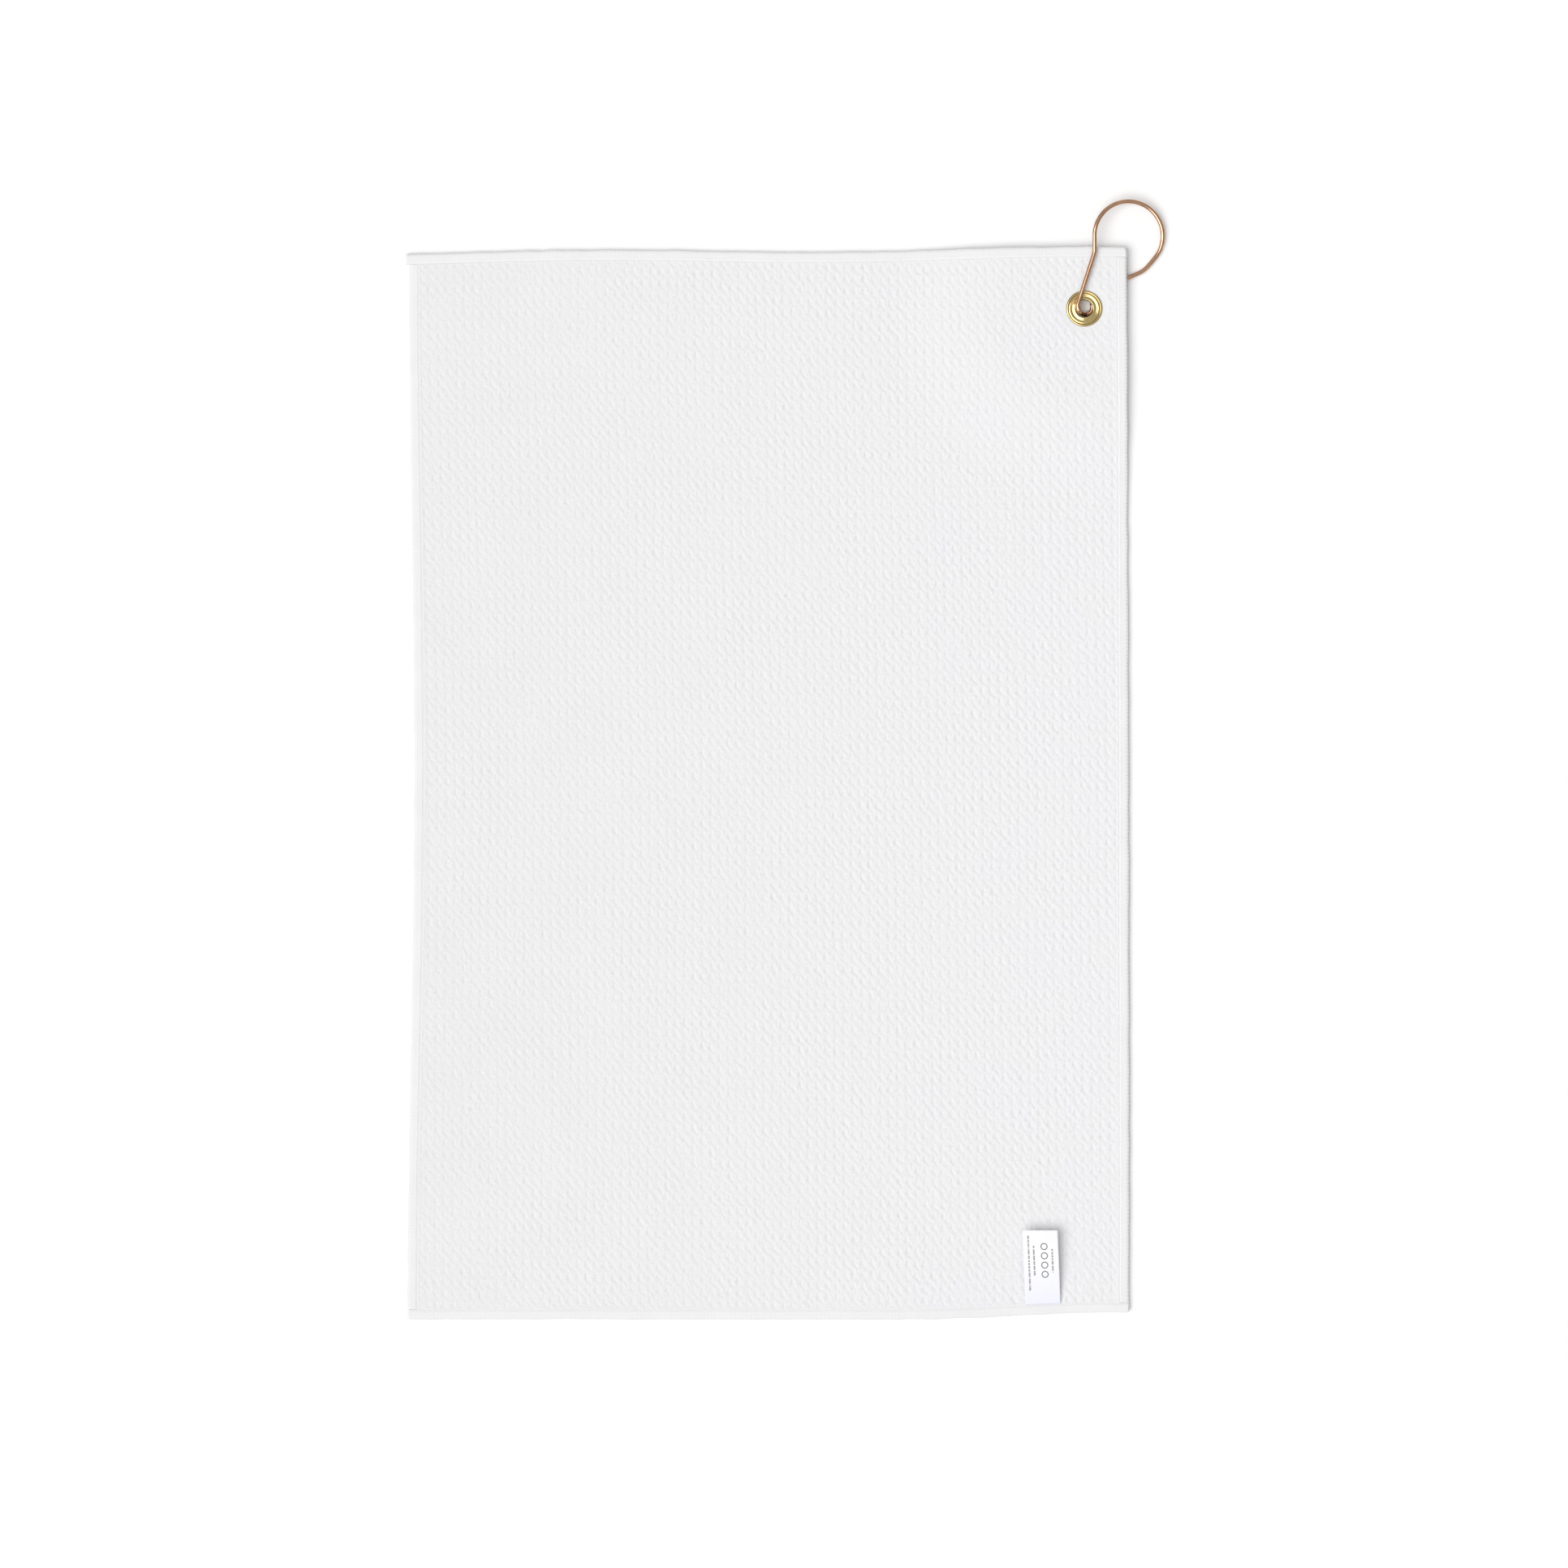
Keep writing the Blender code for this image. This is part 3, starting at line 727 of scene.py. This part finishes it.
def seam(side, seed):
    """Thread wrapped over the cloth's edge: fine ribs across the band and a bead at each stitch on the rim."""
    rng = np.random.default_rng(seed)
    start, end = seam_ends(side)
    ribs = round((end - start) / rib_pitch)
    per_rib = 6
    along = np.linspace(start, end, ribs * per_rib + 1)
    phase = (along - start) * ribs / (end - start)
    wobble = np.interp(phase, np.arange(ribs + 2), 1 + 0.35 * rng.standard_normal(ribs + 2))
    rib = 0.5 - 0.5 * np.cos(2 * np.pi * phase)
    stitch = (along - start) / stitch_pitch
    gap = np.exp(-((np.abs((stitch + 0.5) % 1 - 0.5)) / 0.16) ** 2)
    full = 0.55 + 0.45 * smooth(np.minimum(along - start, end - along) / (0.9 * mm))
    into_corner = np.zeros_like(along)
    if side in ("top", "bottom"):
        into_corner += quarter_round(1 - (end - along) / corner_round, corner_round)
    if side == "bottom":
        into_corner += quarter_round(1 - (along - start) / (0.5 * corner_round), 0.5 * corner_round)
    low_wave = np.interp(along, np.linspace(start, end, 60), 0.00012 * rng.standard_normal(60))
    mid = band_thick / 2
    rings, crease_shades = [], []
    for inset, height, proud in round_channel():
        nose = math.exp(-(inset / 0.0013) ** 2) * proud
        depth = proud * rib_depth * (1 - rib**0.7) * wobble
        bead = nose * bead_depths[side] * gap
        moved = inset + nose * (low_wave + bead - 0.00010 + depth)
        moved = moved + into_corner * max(0.0, 1 - inset / band_width)
        z = height - (depth + 0.35 * bead) * np.sign(height - mid) * (1 - nose * 0.6)
        z = np.maximum(mid + (z - mid) * full, 0.00003)
        wx, wy = warp(*edge_place(side, along, moved))
        rings.append(np.stack([wx, wy, lift(wx, wy) + z], -1))
        # painted shade between the ribs and at the gaps between stitches on the rim, for the thread's material
        crease_shades.append(np.clip(proud * 0.35 * (1 - rib) + proud * bead / 0.0003, 0, 1))
    verts = np.stack(rings, 1)
    grid, quads = swept(verts)
    u_low, u_high, v_low, v_high = lane_uv(np.arange(len(along)), len(rings), strip_lanes)
    uv = corner_uv((u_low, v_low), (u_high, v_low), (u_high, v_high), (u_low, v_high))
    flip = side in ("left", "top")
    if flip:
        quads, uv = quads[:, ::-1], uv[:, ::-1]
    for number, ids in enumerate((grid[0], grid[-1])):
        caps = ids[np.array(cap_quads())]
        if (number == 0) != flip:
            caps = caps[:, ::-1]
        quads = np.concatenate([quads, caps])
        left = 0.9 + 0.02 * number
        square = [(left, 0.97), (left + 0.01, 0.97), (left + 0.01, 0.98), (left, 0.98)]
        uv = np.concatenate([uv, np.broadcast_to(square, (len(caps), 4, 2))])
    ob = build("overlock_" + side, verts.reshape(-1, 3), quads, seam_look, uv)
    point_data(ob, "hollow_shade", "FLOAT", "value", np.stack(crease_shades, 1))
    return ob


def cap_quads():
    """Quads that close the C's end: fans from its two inner corners, joined at the nose."""
    outline = round_channel()
    inner_low, inner_top = len(outline) - 2, len(outline) - 1
    turn = next(k for k, (_, height, _) in enumerate(outline) if height < band_thick / 2)
    quads = [(k, k + 1, k + 2, inner_top) for k in range(0, turn - 1, 2)]
    quads.append((turn - 1, turn, inner_low, inner_top))
    quads += [(k, k + 1, k + 2, inner_low) for k in range(turn, inner_low - 2, 2)]
    return quads


seams = {}
for number, side in enumerate(("left", "right", "top", "bottom")):
    seams[side] = seam(side, 30 + number)
    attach(seams[side], "towel")
    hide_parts("edge_overlock_" + side)


# ---------------------------------------------------------------- tubes
def frames(points):
    """Directions along a path, and two across it that follow its bends without twisting."""
    tangents = np.gradient(points, axis=0)
    tangents /= np.linalg.norm(tangents, axis=1)[:, None]
    up = (0.0, 0.0, 1.0) if abs(tangents[0, 2]) <= 0.9 else (1.0, 0.0, 0.0)
    side = np.cross(up, tangents[0])
    sides = [side / np.linalg.norm(side)]
    for tangent in tangents[1:]:
        side = sides[-1] - tangent * (sides[-1] @ tangent)
        sides.append(side / np.linalg.norm(side))
    sides = np.array(sides)
    return tangents, sides, np.cross(tangents, sides)


def resample(points, step):
    """The same route in even steps."""
    points = np.asarray(points, float)
    gaps = np.linalg.norm(np.diff(points, axis=0), axis=1)
    points = points[np.concatenate([[True], gaps > 1e-7])]
    run = line_lengths(points)
    at = np.linspace(0, run[-1], max(3, round(run[-1] / step)) + 1)
    return np.stack([np.interp(at, run, points[:, k]) for k in range(3)], -1)


dome_angles = np.radians((20, 40, 58, 72, 84))


def tube(name, points, radius, look, sides=24, lanes=1, start_cap=True, end_cap=True):
    """A closed tube with domed or flat ends. radius is one number or one for each point."""
    points = np.asarray(points, float)
    radius = np.broadcast_to(np.asarray(radius, float), (len(points),))
    tangents, side, up = frames(points)
    head = len(dome_angles) if start_cap else 0
    tail = len(dome_angles) if end_cap else 0
    spread = np.concatenate([np.zeros(head, int), np.arange(len(points)), np.full(tail, len(points) - 1)])
    centres, radii = points[spread], radius[spread]
    for cap, angles, outward in (
        (slice(0, head), dome_angles[::-1][:head], -tangents[0]),
        (slice(len(spread) - tail, None), dome_angles[:tail], tangents[-1]),
    ):
        centres[cap] += outward * (radii[cap] * np.sin(angles))[:, None]
        radii[cap] = radii[cap] * np.cos(angles)
    turn = np.linspace(0, 2 * np.pi, sides, endpoint=False)[None, :, None]
    across = np.cos(turn) * side[spread][:, None] + np.sin(turn) * up[spread][:, None]
    ring = centres[:, None] + radii[:, None, None] * across
    grid, quads = swept(ring)
    quads = quads[:, [0, 3, 2, 1]]
    run = line_lengths(centres) + 1e-7 * np.arange(len(centres))
    u_low, u_high, v_low, v_high = lane_uv(run, sides, lanes)
    uv = corner_uv((u_low, v_low), (u_low, v_high), (u_high, v_high), (u_high, v_low))
    first = points[0] - (tangents[0] * radius[0] if start_cap else 0)
    last = points[-1] + (tangents[-1] * radius[-1] if end_cap else 0)
    verts = np.concatenate([ring.reshape(-1, 3), [first], [last]])
    start_ring, end_ring = (np.append(ids, ids[0]) for ids in (grid[0], grid[-1]))
    tris = [(grid.size, start_ring[k + 1], start_ring[k]) for k in range(sides)]
    tris += [(grid.size + 1, end_ring[k], end_ring[k + 1]) for k in range(sides)]
    turn = np.linspace(0, 2 * np.pi, sides + 1)
    fans = []
    for u in (0.3, 0.6):
        fan_u, fan_v = u + 0.012 * np.cos(turn), 0.975 + 0.012 * np.sin(turn)
        for k in range(sides):
            fans += [(u, 0.975), (fan_u[k + 1], fan_v[k + 1]), (fan_u[k], fan_v[k])]
    ob = build(name, verts, quads, look, np.concatenate([uv.reshape(-1, 2), fans]), tris)
    # a flat end keeps a hard rim, so that two lengths of one wire meet without a line
    flat_rims = [ids for ids, capped in ((grid[0], start_cap), (grid[-1], end_cap)) if not capped]
    if flat_rims:
        pairs = np.empty(len(ob.data.edges) * 2, np.int32)
        ob.data.edges.foreach_get("vertices", pairs)
        sharp = [np.isin(pairs.reshape(-1, 2), ids).all(1) for ids in flat_rims]
        made = ob.data.attributes.new("sharp_edge", "BOOLEAN", "EDGE")
        made.data.foreach_set("value", np.any(sharp, axis=0))
    return ob


def needle_run(side, seed):
    """Needle thread along a seam, dipping into the band at each stitch."""
    start, end = seam_ends(side)
    step = 0.24 * mm
    along = np.linspace(start + 0.0012, end - 0.0012, round((end - start) / step))
    phase = (along - start) / stitch_pitch
    hump = np.abs(np.sin(np.pi * phase)) ** 0.55
    height = band_thick - 0.00017 + hump * 0.00009
    rng = np.random.default_rng(seed)
    sway = np.interp(along, np.linspace(start, end, 90), 0.00006 * rng.standard_normal(90))
    x, y = edge_place(side, along, thread_inset + sway)
    wx, wy = warp(x, y)
    points = np.stack([wx, wy, lift(wx, wy) + height], -1)
    radius = thread_dia / 2 * (0.80 + 0.22 * hump)
    return tube("stitching_" + side, points, radius, stitch_look, sides=8, lanes=strip_lanes)


for number, side in enumerate(("left", "right", "top", "bottom")):
    run = needle_run(side, 50 + number)
    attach(run, "towel")
    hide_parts("needle_thread_" + side)


# ---------------------------------------------------------------- the grommet
def turned(name, profile, look, steps=160):
    """A closed profile of (radius, height), rounded at its corners and turned about the grommet's axis."""
    profile = np.asarray(profile, float)
    rounded = []
    for p, q, r in zip(np.roll(profile, 1, axis=0), profile, np.roll(profile, -1, axis=0)):
        to_p, to_r = np.linalg.norm(p - q), np.linalg.norm(r - q)
        cut = min(to_p, to_r) * 0.42
        a, b = q + (p - q) / to_p * cut, q + (r - q) / to_r * cut
        rounded += [(1 - t) ** 2 * a + 2 * t * (1 - t) * q + t * t * b for t in np.linspace(0, 1, 5)]
    closed = np.array(rounded + rounded[:1])
    profile = closed[:-1]
    turn = np.linspace(0, 2 * np.pi, steps, endpoint=False)[:, None]
    verts = np.stack(np.broadcast_arrays(
        grommet_x + profile[:, 0] * np.cos(turn), grommet_y + profile[:, 0] * np.sin(turn), profile[:, 1]
    ), -1)
    grid = np.arange(verts.shape[0] * verts.shape[1]).reshape(verts.shape[:2])
    around, down = np.roll(grid, -1, axis=0), np.roll(grid, -1, axis=1)
    quads = np.stack([grid, around, np.roll(around, -1, axis=1), down], -1).reshape(-1, 4)
    length = line_lengths(closed)
    v = (length / length[-1] * 0.96 + 0.02)[None]
    u = (np.arange(steps + 1) / steps * 0.98 + 0.01)[:, None]
    uv = corner_uv((u[:-1], v[:, :-1]), (u[1:], v[:, :-1]), (u[1:], v[:, 1:]), (u[:-1], v[:, 1:]))
    area = sum(p[0] * q[1] - q[0] * p[1] for p, q in zip(closed[:-1], closed[1:]))
    if area < 0:
        quads, uv = quads[:, ::-1], uv[:, ::-1]
    return build(name, verts.reshape(-1, 3), quads, look, uv)


ring_crest_share = 0.62
rim = flange_dia / 2
crest = hole_radius + ring_crest_share * (rim - hole_radius)
eyelet = turned("grommet_face", [
    (rim, flange_bottom),
    (rim + 0.00005, flange_bottom + 0.45 * flange_rise),
    (rim - 0.00045, flange_bottom + 0.92 * flange_rise),
    (rim - 0.00110, flange_bottom + 0.86 * flange_rise),
    (crest + 0.00110, flange_bottom + 0.42 * flange_rise),
    (crest + 0.00050, flange_bottom + 0.85 * flange_rise),
    (crest, flange_top),
    (crest - 0.00045, flange_bottom + 0.88 * flange_rise),
    (crest - 0.00120, flange_bottom + 0.52 * flange_rise),
    (hole_radius + 0.00095, flange_bottom + 0.95 * flange_rise),
    (hole_radius + 0.00045, flange_top),
    (hole_radius, flange_bottom + 0.30 * flange_rise),
    (hole_radius, flare_bottom + 1.2 * flare_thick),
    (hole_radius + 0.00025, flare_bottom + 0.3 * flare_thick),
    (hole_radius + 0.00080, flare_bottom),
    (flare_radius, flare_bottom),
    (flare_radius, flare_bottom + flare_thick),
    (barrel_radius, flare_bottom + flare_thick),
    (barrel_radius, flange_bottom),
], brass_look)
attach(eyelet, "towel")
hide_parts("grommet_eyelet")

washer = turned("grommet_back_washer", [
    (cloth_hole, washer_bottom),
    (washer_dia / 2 - 0.0030, washer_bottom + 0.0001),
    (washer_dia / 2 - 0.0016, washer_bottom),
    (washer_dia / 2 - 0.0004, washer_bottom + 0.00008),
    (washer_dia / 2, washer_bottom + washer_thick / 2),
    (washer_dia / 2, washer_bottom + washer_thick),
    (cloth_hole, washer_bottom + washer_thick),
], brass_look)
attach(washer, "towel")
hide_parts("grommet_washer")


# ---------------------------------------------------------------- the wire hook
def arc(centre, radius, start, end, height):
    count = max(6, round(abs(end - start) / math.radians(2.0)))
    return [
        np.array([centre[0] + radius * math.cos(a), centre[1] + radius * math.sin(a), float(height(a))])
        for a in np.linspace(start, end, count + 1)
    ]


def bend(before, corner, after, radius, height):
    before, corner, after = (np.asarray(p, float)[:2] for p in (before, corner, after))
    back = (before - corner) / np.linalg.norm(before - corner)
    ahead = (after - corner) / np.linalg.norm(after - corner)
    half = math.acos(float(np.clip(back @ ahead, -1, 1))) / 2
    middle = back + ahead
    centre = corner + middle / np.linalg.norm(middle) * radius / math.sin(half)
    run = radius / math.tan(half)
    first, last = corner + back * run - centre, corner + ahead * run - centre
    start = math.atan2(first[1], first[0])
    turn = math.atan2(first[0] * last[1] - first[1] * last[0], float(first @ last))
    return arc(centre, radius, start, start + turn, lambda angle: height)


def loop_height(angle):
    t = (slope_start - angle) / (slope_start - arm_leaves)
    return front_height + (rear_height - front_height) * float(smooth(t))


grommet = np.array([grommet_x, grommet_y])
loop_centre = grommet + np.array([loop_x, loop_y])
barrel_room = hole_radius - wire_radius - bore_clear
eye_radius = hole_radius - eye_slack
eye_shift = eye_radius - barrel_room + eye_dip
eye_centre = grommet + eye_shift * np.array([math.cos(eye_lean), math.sin(eye_lean)])


def eye_height(angle):
    reach = (barrel_room**2 - eye_radius**2 - eye_shift**2) / (2 * eye_radius * eye_shift)
    half = math.pi - math.acos(max(reach, -1))
    t = (angle - (eye_lean + math.pi - half)) / (2 * half)
    return front_height + (rear_height - front_height) * float(smooth(t))


# Between these angles round the loop lies the crown, a length of wire of its own that no body carries; in the real
# hook the wire bends there when the gate opens
blend_from, blend_to = math.radians(112), math.radians(-24)
wire_step = 0.35 * mm


def shank_route():
    """From the loop's upper left, down the neck and the front shank, round the eye."""
    neck = loop_centre + np.array([-loop_radius, -neck_drop])
    to_neck = neck - eye_centre
    lands = math.atan2(to_neck[1], to_neck[0]) + math.acos(eye_radius / np.linalg.norm(to_neck))
    landing = eye_centre + eye_radius * np.array([math.cos(lands), math.sin(lands)])
    above = loop_centre + np.array([-loop_radius, 0])
    points = arc(loop_centre, loop_radius, blend_from, math.pi, loop_height)
    points += bend(above, neck, landing, neck_bend, front_height)
    points += arc(eye_centre, eye_radius, lands, eye_end, eye_height)
    return points


def arm_route():
    """From the loop's lower right, behind the towel to the eye."""
    knee, toe, tip = (grommet + np.array(p) for p in (arm_knee, arm_toe, arm_tip))
    points = arc(loop_centre, loop_radius, blend_to, arm_leaves, loop_height)
    points += bend(points[-1][:2], knee, toe, knee_bend, rear_height)
    points += bend(knee, toe, tip, toe_bend, rear_height)
    points.append(np.array([*tip, rear_height]))
    return points


def eased(points, reach):
    """The route with its corners eased over a few steps, its ends kept in place and in direction."""
    points = points.copy()
    share = np.clip(np.minimum(np.arange(len(points)), np.arange(len(points))[::-1]) / (2.0 * reach), 0, 1)[:, None]
    kernel = np.exp(-0.5 * (np.arange(-3 * reach, 3 * reach + 1) / reach) ** 2)
    kernel /= kernel.sum()
    padded = np.concatenate([
        2 * points[0] - points[3 * reach:0:-1],
        points,
        2 * points[-1] - points[-2:-3 * reach - 2:-1],
    ])
    soft = np.stack([np.convolve(padded[:, k], kernel, "valid") for k in range(3)], -1)
    return points * (1 - share) + soft * share


def wire(name, points, start_cap, end_cap):
    ob = tube(name, points, wire_radius, copper_look, sides=32, lanes=3, start_cap=start_cap, end_cap=end_cap)
    return ob


shank = wire("hook_shank_wire", resample(shank_route(), wire_step), False, True)
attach(shank, "hook")
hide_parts("hook_shank")

arm = wire("hook_arm_wire", eased(resample(arm_route(), wire_step), 7), False, True)
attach(arm, "hook_arm")
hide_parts("hook_spring_arm")

crown_route = arc(loop_centre, loop_radius, blend_from, blend_to, loop_height)
crown = wire("hook_crown_wire", resample(crown_route, wire_step), False, False)
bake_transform(crown)


# ---------------------------------------------------------------- the care label
ribbon_thick = 0.00012
fold_gap = 0.00012
ribbon_cup = 0.00022
ribbon_steps = 70


def care_label():
    """One ribbon folded double at its free end, with both ends caught under the bottom seam."""
    root_x = half_width - label_inset
    slope = float(bottom_shift(root_x + mm) - bottom_shift(root_x - mm)) / (2 * mm)
    ox, oy = warp(root_x, -half_length + seam_end)
    lean = math.atan(slope)
    share = np.arange(ribbon_steps + 1) / ribbon_steps
    route = np.stack([label_length * share, label_rise * np.sin(math.pi / 2 * share)], -1)
    tangent = np.gradient(route, axis=0)
    tangent /= np.linalg.norm(tangent, axis=1)[:, None]
    normal = np.stack([-tangent[:, 1], tangent[:, 0]], -1)

    def fold(half, steps):
        turns = np.linspace(0, np.pi, steps)[1:-1, None]
        return route[-1] + half * (tangent[-1] * np.sin(turns) + normal[-1] * np.cos(turns))

    inner, outer = fold_gap / 2, fold_gap / 2 + ribbon_thick
    outside = np.concatenate([route + normal * outer, fold(outer, 9), (route - normal * outer)[::-1]])
    inside = np.concatenate([route - normal * inner, fold(inner, 5)[::-1], (route + normal * inner)[::-1]])
    outline = np.concatenate([outside, inside])

    across = np.linspace(-0.5, 0.5, 33) * label_width
    xs = np.broadcast_to(across[:, None], (len(across), len(outline)))
    ys = np.broadcast_to(outline[:, 0], xs.shape)
    free = np.clip(ys / label_length, 0, 1)
    zs = outline[:, 1] - ribbon_cup * (2 * xs / label_width) ** 2 * free
    # sheared, so that the free edge is square to the towel while the root follows the leaning seam
    c, s = math.cos(lean), math.sin(lean)
    verts = np.stack([
        ox + xs * c - ys * s,
        oy + xs * s * (1 - free) + ys * c,
        cloth_thick + seat_gap + label_thick / 2 + zs,
    ], -1)
    grid, quads = swept(verts)

    # each long side: the outer line joined to the inner one
    outer_ids = np.arange(len(outside))
    inner_ids = np.arange(len(outline) - 1, len(outside) - 1, -1)
    outer_at, inner_at = (line_lengths(outline[ids]) for ids in (outer_ids, inner_ids))
    side = []
    for outer_steps, i, k in zipper(outer_at / outer_at[-1], inner_at / inner_at[-1]):
        third = outer_ids[i + 1] if outer_steps else inner_ids[k + 1]
        side.append((outer_ids[i], third, inner_ids[k]))
    side = np.array(side)
    ob = build("care_label_ribbon", verts.reshape(-1, 3), quads, label_look, None,
               np.concatenate([grid[0][side], grid[-1][side[:, [0, 2, 1]]]]))
    on_front = np.broadcast_to(np.arange(len(outline)) < len(route), xs.shape)
    point_data(ob, "ribbon", "FLOAT_VECTOR", "vector", np.stack([xs, ys, on_front], -1))
    return ob


label = care_label()
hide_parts("care_label")
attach(label, "label")


# ---------------------------------------------------------------- floor, light and camera
def stage_material():
    mat, tree, shader = new_material("floor_paper")
    where = node(tree, "ShaderNodeTexCoord").outputs["Object"]
    grain = noise(tree, where, 90.0, 3.0, 0.5)
    tree.links.new(mix_colour(tree, grain, (0.895, 0.895, 0.895), (0.91, 0.91, 0.91)), shader.inputs["Base Color"])
    set_shader(shader, Roughness=0.9, Specular_IOR_Level=0.1)
    return mat


floor_size = 30.0
floor_drop = 0.00002
floor_mesh = bpy.data.meshes.new("floor")
corner = floor_size / 2
floor_mesh.from_pydata(
    [(-corner, -corner, 0), (corner, -corner, 0), (corner, corner, 0), (-corner, corner, 0)], [], [(0, 1, 2, 3)]
)
floor_mesh.materials.append(stage_material())
floor = bpy.data.objects.new("floor", floor_mesh)
bpy.context.scene.collection.objects.link(floor)
floor.location.z = -floor_drop

# Brightness of the surround: everywhere, how much more straight above, and how much more towards +Y and -Y
sky_base, sky_top, sky_ends = 0.18, 0.50, 0.30
world = bpy.data.worlds.new("studio")
bpy.context.scene.world = world
world.use_nodes = True
tree = world.node_tree
sky = tree.nodes["Background"]
sky.inputs["Color"].default_value = (1.0, 1.0, 1.0, 1)
direction = node(tree, "ShaderNodeTexCoord").outputs["Generated"]
axes = node(tree, "ShaderNodeSeparateXYZ", Vector=direction).outputs
climb = maths(tree, "POWER", maths(tree, "MAXIMUM", axes["Z"], 0.0), 2.0)
ends = maths(tree, "MULTIPLY", maths(tree, "MULTIPLY", axes["Y"], axes["Y"]), sky_ends)
glow = maths(tree, "ADD", maths(tree, "MULTIPLY", climb, sky_top), sky_base)
tree.links.new(maths(tree, "ADD", glow, ends), sky.inputs["Strength"])

key_strength, key_spread = 2.30, math.radians(56)
key_direction = Vector((0.50, 0.27, -0.95))
key_data = bpy.data.lights.new("key", "SUN")
key_data.energy = key_strength
key_data.angle = key_spread
key = bpy.data.objects.new("key", key_data)
bpy.context.scene.collection.objects.link(key)
key.rotation_euler = key_direction.to_track_quat("-Z", "Y").to_euler()

# The picture is this wide, and its middle is this far from the towel's
camera_height = 4.0
view_width = 0.8882
view_x, view_y = 0.0083, 0.0005
film_mm = 36
camera_data = bpy.data.cameras.new("camera")
camera_data.sensor_width = film_mm
camera_data.lens = film_mm * camera_height / view_width
camera_data.clip_end = 60
camera = bpy.data.objects.new("camera", camera_data)
bpy.context.scene.collection.objects.link(camera)
camera.location = (view_x, view_y, camera_height)
bpy.context.scene.camera = camera
bpy.context.scene.view_settings.view_transform = "Standard"
